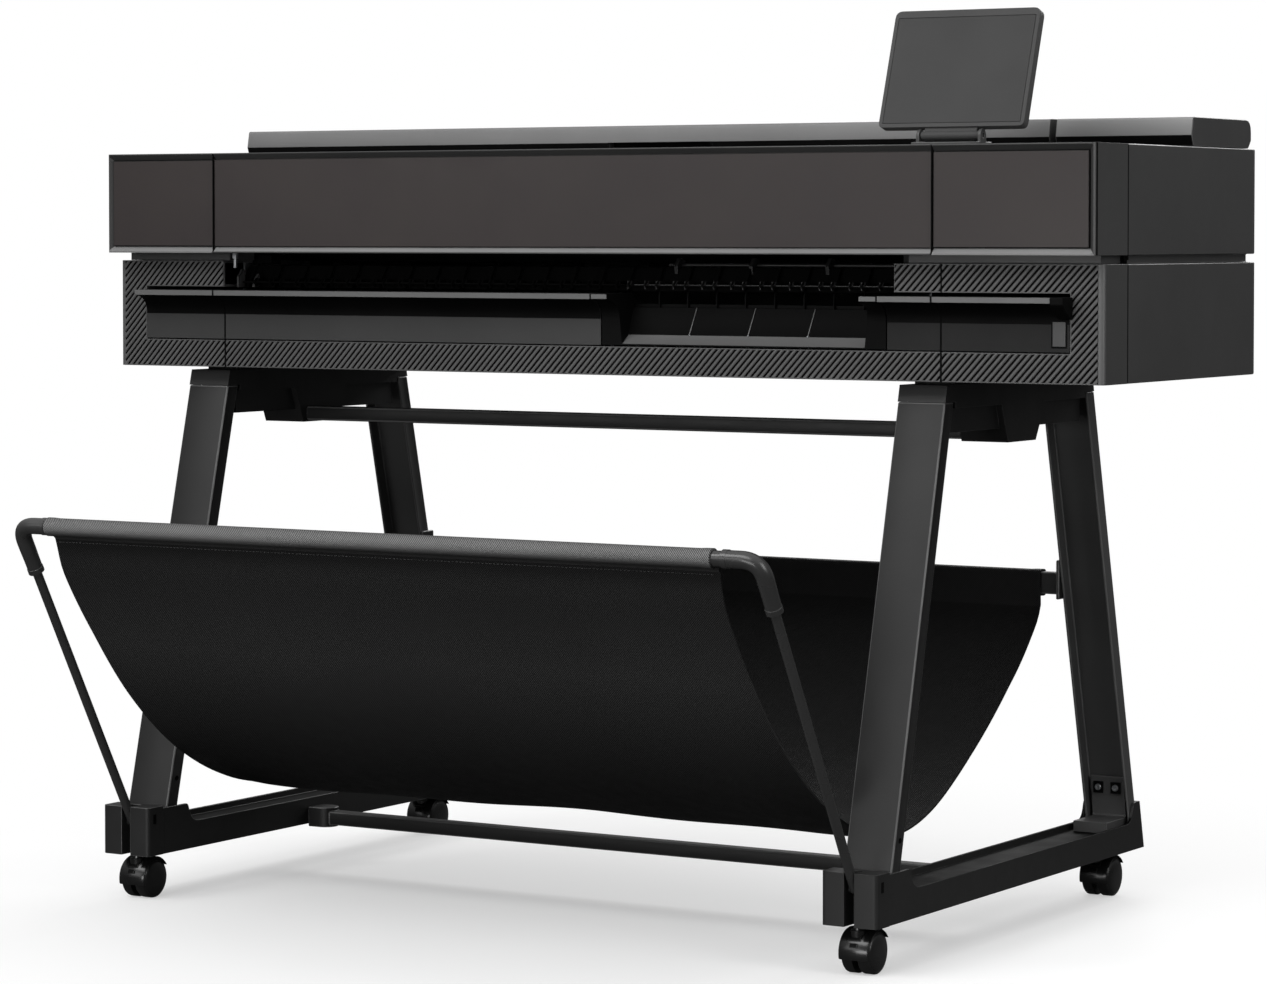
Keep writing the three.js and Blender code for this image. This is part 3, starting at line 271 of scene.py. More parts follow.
# A darker copy of the deflector plastic for the right deflector: painted shade.
RIGHT_DEFLECTOR_PAINTED_SHADE = moulded("deflector_right_painted_shade", level(31), level(35), (0.42, 0.5), specular=0.12)
# A still paler copy of the lid tone for the right top cover: painted light.
RIGHT_LID_PAINTED_LIGHT = moulded("lid_right_painted_light", level(136), level(142), (0.40, 0.47))
# The panel rim is lighter partly as its own grey and partly as a painted highlight along its top bevel.
PANEL_RIM = moulded("panel_rim", level(66), level(70), (0.5, 0.56), strength=0.1, specular=0.12)


# ---------- mesh helpers ----------


class Shape:
    """Vertices in millimetres and faces, gathered from several solids."""

    def __init__(self):
        self.verts = []
        self.faces = []

    def add(self, verts, faces):
        start = len(self.verts)
        self.verts += [tuple(v) for v in verts]
        self.faces += [[start + i for i in face] for face in faces]
        return self

    def prism(self, axis, corners, low, high):
        def place(a, b, depth):
            return {"x": (depth, a, b), "y": (a, depth, b), "z": (a, b, depth)}[axis]

        count = len(corners)
        verts = [place(a, b, low) for a, b in corners] + [place(a, b, high) for a, b in corners]
        sides = [[i, (i + 1) % count, count + (i + 1) % count, count + i] for i in range(count)]
        return self.add(verts, [list(range(count))[::-1], [count + i for i in range(count)], *sides])

    def box(self, x0, x1, y0, y1, z0, z1):
        return self.prism("z", [(x0, y0), (x1, y0), (x1, y1), (x0, y1)], z0, z1)

    def lathe(self, profile, centre, axis="x", sides=48):
        """profile is (radius, place along the axis) from one end on the axis to the other."""
        cx, cy, cz = centre
        rings, verts = [], []
        for radius, along in profile:
            ring = []
            turns = 1 if radius == 0 else sides
            for k in range(turns):
                a = 2 * math.pi * k / sides
                u, v = radius * math.cos(a), radius * math.sin(a)
                ring.append(len(verts))
                verts.append({"x": (cx + along, cy + u, cz + v), "y": (cx + u, cy + along, cz + v),
                              "z": (cx + u, cy + v, cz + along)}[axis])
            rings.append(ring)
        faces = []
        for near, far in zip(rings, rings[1:]):
            for k in range(sides):
                n = (k + 1) % sides
                corners = [near[k % len(near)], near[n % len(near)], far[n % len(far)], far[k % len(far)]]
                face = list(dict.fromkeys(corners))
                if len(face) > 2:
                    faces.append(face)
        return self.add(verts, faces)

    def tube(self, points, radii, sides=28):
        """A round tube along points; radii is one number or one for each point."""
        path = [Vector(p) for p in points]
        radii = [radii] * len(path) if isinstance(radii, (int, float)) else radii
        last = len(path) - 1
        along = [(path[min(i + 1, last)] - path[max(i - 1, 0)]).normalized() for i in range(len(path))]
        side = along[0].orthogonal().normalized()
        verts, faces = [], []
        for p, t, r in zip(path, along, radii):
            side = (side - t * side.dot(t)).normalized()
            other = t.cross(side)
            for k in range(sides):
                a = 2 * math.pi * k / sides
                verts.append(p + side * (r * math.cos(a)) + other * (r * math.sin(a)))
        for i in range(last):
            for k in range(sides):
                n = (k + 1) % sides
                faces.append([i * sides + k, i * sides + n, (i + 1) * sides + n, (i + 1) * sides + k])
        faces.append(list(range(sides))[::-1])
        faces.append([last * sides + k for k in range(sides)])
        return self.add(verts, faces)


def smooth(mesh, degrees):
    mesh.polygons.foreach_set("use_smooth", [True] * len(mesh.polygons))
    mesh.set_sharp_from_angle(angle=math.radians(degrees))


def soften(obj, width):
    """Round the sharp edges and give them the object's second material."""
    bevel = obj.modifiers.new("soft_edges", "BEVEL")
    bevel.width = width * MM
    bevel.segments = 2
    bevel.limit_method = "ANGLE"
    bevel.angle_limit = math.radians(36)
    bevel.harden_normals = True
    bevel.material = 1


def piece(name, shape, body, slot, edges=0.0, degrees=36, material=None, replaces=()):
    """A new object from a shape, with the body it rides on and the CAD nodes that it stands for."""
    mesh = bpy.data.meshes.new(name)
    mesh.from_pydata([[c * MM for c in v] for v in shape.verts], [], shape.faces)
    work = bmesh.new()
    work.from_mesh(mesh)
    bmesh.ops.remove_doubles(work, verts=work.verts, dist=1e-6)
    bmesh.ops.recalc_face_normals(work, faces=work.faces)
    work.to_mesh(mesh)
    work.free()
    smooth(mesh, degrees)
    obj = bpy.data.objects.new(name, mesh)
    bpy.context.scene.collection.objects.link(obj)
    mesh.materials.append(material or FINISH[slot])
    if edges:
        mesh.materials.append(EDGE.get(slot, FINISH[slot]))
        soften(obj, edges)
    if replaces:
        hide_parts(*replaces)
    if body:
        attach(obj, body)
    return obj


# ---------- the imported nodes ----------

NODE_SLOT = {
    "ribbed": ["left_cheek", "right_cheek", "lower_front_strip"],
    "gloss_panel": ["left_ink_door", "right_service_door", "window_pane"],
    "lid": ["roll_cover", "right_top_cover"],
    "screen": ["panel_screen"],
    "inner_plastic": ["power_inlet", "power_switch", "platen", "pinch_bar", "carriage", "cutter",
                      "service_station", "spindle"],
    "rubber": ["drive_roller"],
    "sheet_steel": ["base_pan", "left_end_frame", "right_end_frame", "carriage_rail"],
    "ink_plastic": ["ink_cartridge_1", "ink_cartridge_2", "ink_cartridge_3"],
    "stand_paint": ["left_foot", "right_foot", "left_front_leg", "right_front_leg", "left_rear_leg",
                    "right_rear_leg", "left_bridge", "right_bridge", "left_leg_bracket",
                    "right_leg_bracket", "upper_bar", "lower_bar", "basket_rear_bar"],
}
SLOT_OF = {node: slot for slot, nodes in NODE_SLOT.items() for node in nodes}
EDGE_WIDTH = {"shell": 0.9, "ribbed": 0.6, "gloss_panel": 0.9, "lid": 1.2, "stand_paint": 1.6, "screen": 0.4,
              "inner_plastic": 0.4, "sheet_steel": 0.3, "ink_plastic": 0.8, "rubber": 0.3}
ROUNDED = {"left_side_cover": 2.2, "right_side_cover": 2.2}


def deflector_face(centre, normal):
    """The hollow under a deflector's lip is dark, and its lip light, a paler tone as painted light."""
    if centre.y < -131.5 and centre.z > 762:
        return LIP_PAINTED_LIGHT
    if centre.z < 763 and normal.z < -0.05 and normal.y < -0.02:
        return FINISH["inner_plastic"]
    return None


def shelf_face(centre, normal):
    """The shelf is dark apart from its two lip ends and the sloping sill of the cut-out, which get a paler
    tone as painted light.
    """
    if centre.z > 762 and centre.y < -131.5:
        return LIP_PAINTED_LIGHT
    if centre.z < 721 and normal.z > 0.3 and normal.y < -0.2:
        return LIP_PAINTED_LIGHT
    return FINISH["inner_plastic"]


def front_frame_face(centre, normal):
    """The frame round the front panes has a pale chamfer below, a painted highlight, and dark reveals inside,
    painted shade.
    """
    if 815 < centre.z < 824 and normal.y < -0.25:
        return FINISH["lid"]
    if -131 < centre.y < -118 and 822 < centre.z < 940 and abs(normal.y) < 0.5:
        return BLACK_LINE
    return None


def lid_face(centre, normal):
    """Ends and undercut of the top covers are dark, and so is the finger recess: the undercut's black is a
    painted shadow line and the recess is painted shade.
    """
    if abs(normal.x) > 0.6:
        return FINISH["shell"]
    if centre.y < 175 and centre.z < 958:
        return BLACK_LINE if normal.z < 0.3 else FINISH["shell"]
    return None


def cheek_face(centre, normal):
    """A cheek's outer side is smooth like the side cover behind it."""
    return FINISH["shell"] if abs(normal.x) > 0.6 else None


def foot_face(centre, normal):
    """The inside of a foot beam's open top is painted dark: painted shade."""
    if centre.y > -190 and normal.z > 0.5 and centre.z < 110:
        return FINISH["inner_plastic"]
    return None


FACE_RULES = {
    "left_deflector": deflector_face, "right_deflector": deflector_face, "output_shelf": shelf_face,
    "left_cap": front_frame_face, "right_cap": front_frame_face, "window_frame": front_frame_face,
    "roll_cover": lid_face, "right_top_cover": lid_face, "left_foot": foot_face, "right_foot": foot_face,
    "left_cheek": cheek_face, "right_cheek": cheek_face,
}
# Nodes whose faces or edges differ from the finish of their slot.
BASE_OF = {
    "control_panel": PANEL_RIM, "left_deflector": DEFLECTOR_PLASTIC, "right_deflector": RIGHT_DEFLECTOR_PAINTED_SHADE,
    "right_top_cover": RIGHT_LID_PAINTED_LIGHT, "left_rear_leg": REAR_STAND_PAINTED_LIGHT, "right_rear_leg": REAR_STAND_PAINTED_LIGHT,
    "left_leg_bracket": REAR_STAND_PAINTED_LIGHT, "right_leg_bracket": REAR_STAND_PAINTED_LIGHT,
}
EDGE_OF = {
    "output_shelf": FINISH["inner_plastic"], "left_cap": FINISH["shell"], "right_cap": FINISH["shell"],
    "window_frame": FINISH["shell"], "control_panel": PANEL_RIM, "roll_cover": EDGE["shell"],
    "right_top_cover": EDGE["shell"],
}


def dress(name, node):
    """Materials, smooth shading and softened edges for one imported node."""
    slot = SLOT_OF.get(name, "shell")
    mesh = node.data
    mesh.materials.clear()
    mesh.materials.append(BASE_OF.get(name, FINISH[slot]))
    mesh.materials.append(EDGE_OF.get(name, EDGE.get(slot, FINISH[slot])))
    if "custom_normal" in mesh.attributes:
        mesh.attributes.remove(mesh.attributes["custom_normal"])
    mesh.polygons.foreach_set("use_smooth", [True] * len(mesh.polygons))
    mesh.polygons.foreach_set("material_index", [0] * len(mesh.polygons))
    rule = FACE_RULES.get(name)
    if rule:
        for face in mesh.polygons:
            other = rule(Vector(face.center) / MM, face.normal)
            if other:
                if mesh.materials.find(other.name) < 0:
                    mesh.materials.append(other)
                face.material_index = mesh.materials.find(other.name)
    weld = node.modifiers.new("weld", "WELD")
    weld.merge_threshold = 1e-5
    plain = node.modifiers.new("plain", "DECIMATE")
    plain.decimate_type = "DISSOLVE"
    plain.angle_limit = math.radians(0.6)
    plain.delimit = {"MATERIAL"}
    soften(node, ROUNDED.get(name, EDGE_WIDTH[slot]))


for node_name, node_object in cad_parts.items():
    dress(node_name, node_object)


# ---------- ribbed front ----------

RIB_ANGLE = math.radians(47)
RIB_PITCH = 6.2
RIB_HEIGHT = 1.7
RIB_SECTION = [0.0, 0.06, 0.5, 0.85, 1.0, 1.0, 0.85, 0.4]


def ribs(shape, groove_shade, x0, x1, z0, z1):
    """Diagonal ribs over one rectangle of the front plane, in step with their neighbours.

    The faces low between two ribs are collected in groove_shade, to be made dark as painted shade in the
    grooves.
    """
    across = (-math.sin(RIB_ANGLE), math.cos(RIB_ANGLE))
    corners = [(x0, z0), (x1, z0), (x1, z1), (x0, z1)]

    def place(p):
        return p[0] * across[0] + p[1] * across[1]

    steps = len(RIB_SECTION)
    step = RIB_PITCH / steps
    low = math.floor(min(map(place, corners)) / step)
    high = math.ceil(max(map(place, corners)) / step)

    def clip(polygon, limit, keep_above):
        out = []
        for p, q in zip(polygon, polygon[1:] + polygon[:1]):
            a, b = place(p) - limit, place(q) - limit
            inside = a >= 0 if keep_above else a <= 0
            if inside:
                out.append(p)
            if a * b < 0:
                t = a / (a - b)
                out.append((p[0] + (q[0] - p[0]) * t, p[1] + (q[1] - p[1]) * t))
        return out

    for i in range(low, high):
        band = clip(clip(corners, i * step, True), (i + 1) * step, False)
        if len(band) < 3:
            continue
        h0 = RIB_SECTION[i % steps]
        h1 = RIB_SECTION[(i + 1) % steps]
        verts = []
        for p in band:
            t = place(p) / step - i
            verts.append((p[0], FRONT_PLANE - 0.05 - RIB_HEIGHT * (h0 + (h1 - h0) * t), p[1]))
        if h0 + h1 < 0.9:
            groove_shade.add(len(shape.faces))
        shape.add(verts, [list(range(len(verts)))])


def ribbed_panel(name, rectangles, beads):
    shape, groove_shade = Shape(), set()
    for rectangle in rectangles:
        ribs(shape, groove_shade, *rectangle)
    panel = piece(name, shape, None, "ribbed", degrees=50)
    panel.data.materials.append(FINISH["inner_plastic"])
    # Painted shade: the faces between the ribs take the dark inner plastic.
    for i in groove_shade:
        panel.data.polygons[i].material_index = 1
    work = bmesh.new()
    work.from_mesh(panel.data)
    bmesh.ops.dissolve_degenerate(work, dist=1e-6, edges=work.edges)
    rim = [e for e in work.edges if e.is_boundary]
    made = bmesh.ops.extrude_edge_only(work, edges=rim)["geom"]
    for v in made:
        if isinstance(v, bmesh.types.BMVert):
            v.co.y = (FRONT_PLANE + 0.4) * MM
    bmesh.ops.recalc_face_normals(work, faces=work.faces)
    work.to_mesh(panel.data)
    work.free()
    smooth(panel.data, 50)
    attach(panel, "printer")
    border = Shape()
    for x0, x1, z0, z1 in beads:
        border.box(x0, x1, FRONT_PLANE - 1.5, FRONT_PLANE + 0.3, z0, z1)
    piece(name + "_border", border, "printer", "ribbed", edges=0.35, material=EDGE["ribbed"])


RIBS_BOTTOM, RIBS_TOP = 671, 805.5
RECESS_BOTTOM, RECESS_TOP = 704.4, 774.4         # the recess in the cheeks that holds the deflectors


def level_bead(x0, x1, z):
    """A thin level bead that borders a field of ribs."""
    return x0, x1, z, z + 1.4


# Fields of ribs and their beads, each as left, right, bottom and top.
ribbed_panel(
    "left_ribs",
    [(-693, -657.8, RIBS_BOTTOM, RIBS_TOP), (-657.8, -534.2, RECESS_TOP, RIBS_TOP),
     (-657.8, -531.6, RIBS_BOTTOM, RECESS_BOTTOM)],
    [level_bead(-693.5, -534.2, 805), level_bead(-693.5, -531.4, 670.2),
     level_bead(-657.8, -534.2, 773.2), level_bead(-657.8, -531.4, 703.4), (-658.6, -657.2, 704, 774)],
)
ribbed_panel(
    "strip_ribs",
    [(-529.6, 495.2, RIBS_BOTTOM, 704.2)],
    [level_bead(-529.8, 495.4, 670.2), level_bead(-529.8, 495.4, 703.4)],
)
ribbed_panel(
    "right_ribs",
    [(659.6, 693, RIBS_BOTTOM, RIBS_TOP), (435, 659.6, RECESS_TOP, RIBS_TOP),
     (497, 659.6, RIBS_BOTTOM, RECESS_BOTTOM)],
    [level_bead(434.6, 693.5, 805), level_bead(497, 693.5, 670.2),
     level_bead(434.6, 659.6, 773.2), level_bead(497, 659.6, 703.4), (659.0, 660.4, 704, 774)],
)

# ---------- output slot ----------

rods = Shape()
rods.tube([(96, -44, 803), (430, -44, 803)], 2.6, 16)
rods.tube([(120, -52, 794), (430, -52, 794)], 1.8, 16)
for x in (110, 214, 318, 422):
    rods.prism("x", [(-56, 790), (-40, 790), (-38, 808), (-50, 812), (-58, 802)], x, x + 5)
piece("slot_rods", rods, "printer", "wheel", edges=0.4)

guides = Shape()
for i in range(24):
    x = -505 + 40 * i
    guides.prism("x", [(-69.4, 750), (-65, 750), (-65, 771.6), (-67, 771.6), (-69.4, 766)], x, x + 1.6)
guides.box(-528, 430, -65.4, -62, 749, 756)
piece("slot_guides", guides, "printer", "inner_plastic", edges=0.3)


def star_row(name, first, last, slot, material=None):
    """Toothed wheels on a thin shaft, each with the end of its spring arm beside it."""
    stars = Shape()
    teeth = 12
    shaft_y, shaft_z = -80, 779
    for i in range(first, last):
        x = -500 + 20 * i + (4 if i % 2 else 0)
        ring = []
        for k in range(2 * teeth):
            a = math.pi * k / teeth
            r = 5.6 if k % 2 == 0 else 3.9
            ring.append((shaft_y + r * math.cos(a), shaft_z + r * math.sin(a)))
        stars.prism("x", ring, x - 0.5, x + 0.5)
        stars.prism("x", [(-82, 779), (-78, 777), (-66, 779), (-66, 783), (-79, 784)], x + 2, x + 4)
    stars.tube([(-520 + 20 * first, shaft_y, shaft_z), (-492 + 20 * last, shaft_y, shaft_z)], 1.2, 12)
    piece(name, stars, "printer", slot, degrees=40, material=material)


# The left wheels are black as painted shade in the slot; the right ones keep the wheel finish.
star_row("star_wheels_left", 0, 28, "inner_plastic", BLACK_LINE)
star_row("star_wheels_right", 28, 46, "wheel")

pin = Shape()
pin.box(-523.5, -520, -97, -93.5, 797, 816.4)
pin.box(-524.5, -519, -98, -92.5, 809, 816.4)
piece("slot_pin", pin, "printer", "sheet_steel", edges=0.5)
stop = Shape()
stop.prism("x", [(-86, 772), (-72, 772), (-72, 794), (-78, 796), (-82, 789), (-86, 787)], -527, -523)
stop.prism("x", [(-80, 772), (-68, 772), (-68, 790), (-74, 784)], -508, -503)
piece("slot_end_stop", stop, "printer", "inner_plastic", edges=0.6, material=FINISH["shell"])

ramp_lines = Shape()
dots = Shape()
for x in (150, 231, 312):
    ramp_lines.prism("x", [(-89.2, 719.2), (-70.4, 751.8), (-70.8, 752.1), (-89.6, 719.5)], x - 0.5, x + 0.5)
    dots.lathe([(0, -0.6), (1.2, -0.6), (1.2, 0.5), (0.7, 0.8), (0, 0.9)], (x, -89.3, 719.4), "z", 16)
piece("ramp_seams", ramp_lines, "printer", "shell", material=EDGE["shell"])
piece("ramp_dots", dots, "printer", "sheet_steel", degrees=40)

LIP_TOP, LIP_BOTTOM = 768.7, 762.3
DEFLECTOR_FACE = -106.0
CURVE_END = 738.0                # where the hollow under the lip meets the face


def lip_line(x, half):
    """A thin dark line that follows a deflector's section: lip, hollow curve and face."""
    proud, thick, steps = 0.35, 1.2, 8
    outer = [(CAP_FACE - proud, LIP_TOP + 0.3), (CAP_FACE - proud, LIP_BOTTOM)]
    for i in range(1, steps + 1):
        t = i / steps
        y = (1 - t) ** 2 * CAP_FACE + (1 - (1 - t) ** 2) * DEFLECTOR_FACE
        z = (1 - t) ** 2 * LIP_BOTTOM + 2 * t * (1 - t) * (LIP_BOTTOM - 2) + t * t * CURVE_END
        outer.append((y - proud, z))
    outer.append((DEFLECTOR_FACE - proud, STRIP_TOP + 1.5))
    inner = [(y + thick, z) for y, z in reversed(outer)]
    return outer + inner, x - half, x + half


# Joints between the pieces of the front, with the upper ones between the caps and the side covers.
SIDE_SEAM = (-43.4, -40.8)
seams = Shape()
for x in (LEFT_SEAM, RIGHT_SEAM):
    seams.box(x - 1.15, x + 1.15, DEFLECTOR_FACE, -101, BODY_BOTTOM + 0.2, STRIP_TOP)
    seams.prism("x", *lip_line(x, 1.1))
    seams.box(x - 0.65, x + 0.65, -131.2, -129, UPPER_BOTTOM + 1, BODY_TOP - 1)
seams.box(RIGHT_SEAM - 0.9, RIGHT_SEAM + 0.9, DEFLECTOR_FACE, -103, 773.2, 806.2)
for x0, x1 in ((-BODY_SIDE - 0.1, -BODY_SIDE + 1.1), (BODY_SIDE - 1.1, BODY_SIDE + 0.1)):
    seams.box(x0, x1, *SIDE_SEAM, 811, BODY_TOP - 1.1)
piece("front_seams", seams, "printer", "inner_plastic", material=BLACK_LINE)

# The lower ones, between the cheeks and the side covers.
side_seams = Shape()
for x in (-BODY_SIDE + 0.1, BODY_SIDE - 0.1):
    side_seams.box(x - 0.2, x + 0.2, *SIDE_SEAM, BODY_BOTTOM + 1, LOWER_TOP - 0.7)
piece("side_seams", side_seams, "printer", "inner_plastic", material=BLACK_LINE)

# The end of the right deflector: a hook under the lip, and a shallow window with a rim.
hook = Shape()
hook.prism("x", [(-133.6, 769.2), (-133.6, 760.5), (-127, 753), (-116, 746.5), (DEFLECTOR_FACE, 743),
                 (DEFLECTOR_FACE, 769.2)], 646, 663)
piece("deflector_lip_hook", hook, "printer", "inner_plastic", edges=1.6)
end_detail = Shape()
end_detail.box(636, 656, DEFLECTOR_FACE - 0.4, DEFLECTOR_FACE + 1, 711, 743)
piece("deflector_end_rim", end_detail, "printer", "inner_plastic", edges=0.4)
end_plate = Shape()
end_plate.box(638, 654, DEFLECTOR_FACE - 1.2, DEFLECTOR_FACE - 0.2, 713, 741)
piece("deflector_end_plate", end_plate, "printer", "shell", edges=0.5)

# ---------- roll bay ----------

# The wall between the print zone and the roll bay stands behind the carriage rail, over the paper path.
# It is in one strip above the two inner end plates, and in three stretches between and beside them.
WALL_FRONT, WALL_BACK = 127.2, 129.2
bay_wall = Shape()
bay_wall.box(-637, 637, WALL_FRONT, WALL_BACK, 926, 938.4)
for x0, x1 in ((-637, -553.6), (-549.4, 445.4), (449.6, 637)):
    bay_wall.box(x0, x1, WALL_FRONT, WALL_BACK, 822, 925.8)
for i in range(13):
    x = -520 + 77 * i
    bay_wall.box(x, x + 2, WALL_BACK, 133, 826, 934)
piece("roll_bay_wall", bay_wall, "printer", "inner_plastic", edges=0.3)

# ---------- rear of the body ----------

SUNK = BODY_BACK - 0.2           # where pieces on the rear cover start, just inside its face
VENT_PITCH = 16
VENT_BANKS = (-330, 330)

# The vent openings are black fills between the louvres: painted shade inside them.
vents = Shape()
for middle in VENT_BANKS:
    for i in range(16):
        x = middle - 120 + i * VENT_PITCH
        vents.prism("y", [(x, 704), (x + 8, 704), (x + 10, 706), (x + 10, 734), (x + 8, 736), (x, 736),
                          (x - 2, 734), (x - 2, 706)], SUNK, BODY_BACK + 0.5)
piece("rear_vents", vents, "printer", "inner_plastic", material=BLACK_LINE)

louvres = Shape()
for middle in VENT_BANKS:
    for i in range(17):
        x = middle - 127 + i * VENT_PITCH
        section = [(SUNK, 701), (BODY_BACK + 1.6, 703), (BODY_BACK + 1.6, 737), (SUNK, 739)]
        louvres.prism("x", section, x, x + 4)
piece("rear_louvres", louvres, "printer", "shell", edges=0.4)

panels = Shape()
bead, bead_bottom, bead_top, bead_face = 2, 764, 927, BODY_BACK + 0.9
for x0, x1 in ((-625, -225), (-217, 217), (225, 520)):
    for z in (bead_bottom, bead_top - bead):
        panels.box(x0, x1, SUNK, bead_face, z, z + bead)
    for x in (x0, x1 - bead):
        panels.box(x, x + bead, SUNK, bead_face, bead_bottom, bead_top)
piece("rear_panel_beads", panels, "printer", "shell", edges=0.4)


def rear_screw(shape, x, z, radius):
    """A round head with its socket drawn as a round step."""
    profile = [(0, 0.5), (radius * 0.42, 0.5), (radius * 0.45, 1.6), (radius * 0.8, 1.7), (radius, 1.0),
               (radius, -0.8), (0, -0.8)]
    shape.lathe(profile, (x, BODY_BACK, z), "y", 24)


screws = Shape()
for x in (-610, -220, 0, 220, 610):
    rear_screw(screws, x, 688, 4.0)
    rear_screw(screws, x, 936, 3.2)
piece("rear_screws", screws, "printer", "sheet_steel", degrees=30)

# ---------- roll cover and panel details ----------

hinge = Shape()
for x in (-600, -250, 100, 450):
    hinge.lathe([(0, -26), (4, -26), (4.6, -25), (4.6, 25), (4, 26), (0, 26)], (x, 329, 949.5), "x", 24)
piece("roll_cover_knuckles", hinge, "printer", "shell", degrees=40)

# ---------- stand details ----------

BRACKET_FACE = 436.0             # rear face of the rear legs' brackets

for side, cx in STAND_X.items():
    heads = Shape()
    # The wells round the screw heads are black: painted shade in the recesses.
    wells = Shape()
    for x in (cx - 12, cx + 12):
        wells.box(x - 6.8, x + 6.8, BRACKET_FACE + 0.1, BRACKET_FACE + 0.7, 128.2, 142.8)
        profile = [(0, -0.4), (1.6, -0.4), (1.8, -1.8), (3.6, -1.9), (4.2, -1.2), (4.2, 0.4), (0, 0.4)]
        heads.lathe(profile, (x, BRACKET_FACE, 135.5), "y", 24)
    piece(side + "_bracket_screws", heads, "printer", "sheet_steel", degrees=30)
    piece(side + "_bracket_wells", wells, "printer", "inner_plastic", material=BLACK_LINE)
    # The thin slits are black as painted shade inside the holes; the plug beside them is in the same black.
    holes = Shape()
    for x0, x1 in ((cx - 36.4, cx - 36), (cx + 36, cx + 36.4)):
        holes.box(x0, x1, -247, -241.5, 98, 110)
    plug = [(0, -0.4), (3.4, -0.4), (3.4, 0.35), (2.2, 0.35), (2.0, 0), (0, 0)]
    holes.lathe(plug, (cx + 31, -192, 150), "x", 6)
    piece(side + "_stand_holes", holes, "printer", "stand_paint", material=BLACK_LINE)

# ---------- casters ----------

WHEEL_RADIUS = 25.0


def caster_guard(shape, x, y):
    """The curved guard over the wheels, swept in short steps from low at the front to low at the rear."""
    outer, inner, half, corner = WHEEL_RADIUS + 2.6, WHEEL_RADIUS + 0.9, 19.5, 1.5
    section = [(inner, -half), (outer - corner, -half), (outer, -half + 2.2), (outer, half - 2.2),
               (outer - corner, half), (inner, half)]
    count = len(section)
    rings = []
    for degrees in range(-14, 151, 5):
        a = math.radians(degrees)
        rings.append([(x + w, y - r * math.cos(a), WHEEL_RADIUS + r * math.sin(a)) for r, w in section])
    for k, (near, far) in enumerate(zip(rings, rings[1:])):
        faces = [[i, (i + 1) % count, count + (i + 1) % count, count + i] for i in range(count)]
        if k == 0:
            faces.append(list(range(count)))
        if k == len(rings) - 2:
            faces.append([count + i for i in range(count)])
        shape.add(near + far, faces)


def caster(place, x, y):
    swivel, wheels = place + "_swivel", place + "_wheels"
    hood = Shape()
    caster_guard(hood, x, y)
    web_top = [(y - 18, 47), (y - 4, 48.5), (y + 12, 47), (y + 16, 40), (y + 4, 33), (y - 8, 38)]
    web_foot = [(y - 22, 24), (y + 6, 22), (y + 6, 28), (y - 4, 44), (y - 20, 36)]
    hood.prism("x", web_top, x - 2, x + 2)
    hood.prism("x", web_foot, x - 2, x + 2)
    stem = [(0, 44), (9, 44), (9, 51.4), (8.4, 52), (6, 52), (5.5, 57.1), (0, 57.1)]
    hood.lathe(stem, (x, y - 14, 0), "z", 32)
    piece(place + "_caster_hood", hood, swivel, "caster_plastic", degrees=42,
          replaces=(place + "_caster_housing",))

    brake = Shape()
    pad = [(y - 24, 40.5), (y - 21.5, 45), (y - 12, 51.3), (y - 4, 53.4), (y - 4, 51.6), (y - 11, 49.6),
           (y - 20, 43.4), (y - 22.5, 39.5)]
    brake.prism("x", pad, x - 8, x + 8)
    brake.prism("x", [(y - 28.2, 33.5), (y - 25.6, 38), (y - 24, 37), (y - 26.4, 32.6)], x - 5, x + 5)
    piece(place + "_brake_pad", brake, swivel, "caster_plastic", edges=0.4, material=FINISH["inner_plastic"])

    # A domed face with a groove near its rim, then the tread, and a recess on the inner side.
    roller = [(0, 20.9), (5, 20.85), (10, 20.6), (15, 20.1), (19, 19.2), (21.4, 18.2), (21.8, 17.7),
              (22.2, 18.0), (23.6, 17.3), (24.7, 16.2), (WHEEL_RADIUS, 14.8), (WHEEL_RADIUS, 4.6),
              (24.4, 3.7), (22, 3.4), (4, 3.4), (4, 0)]
    rollers = Shape()
    for out in (-1, 1):
        rollers.lathe([(r, a * out) for r, a in roller], (x, y, WHEEL_RADIUS), "x", 64)
    piece(place + "_caster_rollers", rollers, wheels, "wheel", degrees=38,
          replaces=(place + "_caster_wheels",))


for side, cx in STAND_X.items():
    for end, cy in CASTER_Y.items():
        caster(side + "_" + end, cx, cy)

# ---------- basket frame ----------

bar_middle = Vector((0, BAR_Y, BAR_Z))
up_rod = (bar_middle - Vector((0, PIVOT_Y, PIVOT_Z))).normalized()


def on_rod(x, back):
    """The point on a rod's axis that is this far below the bar."""
    p = bar_middle - up_rod * back
    return Vector((x, p.y, p.z))


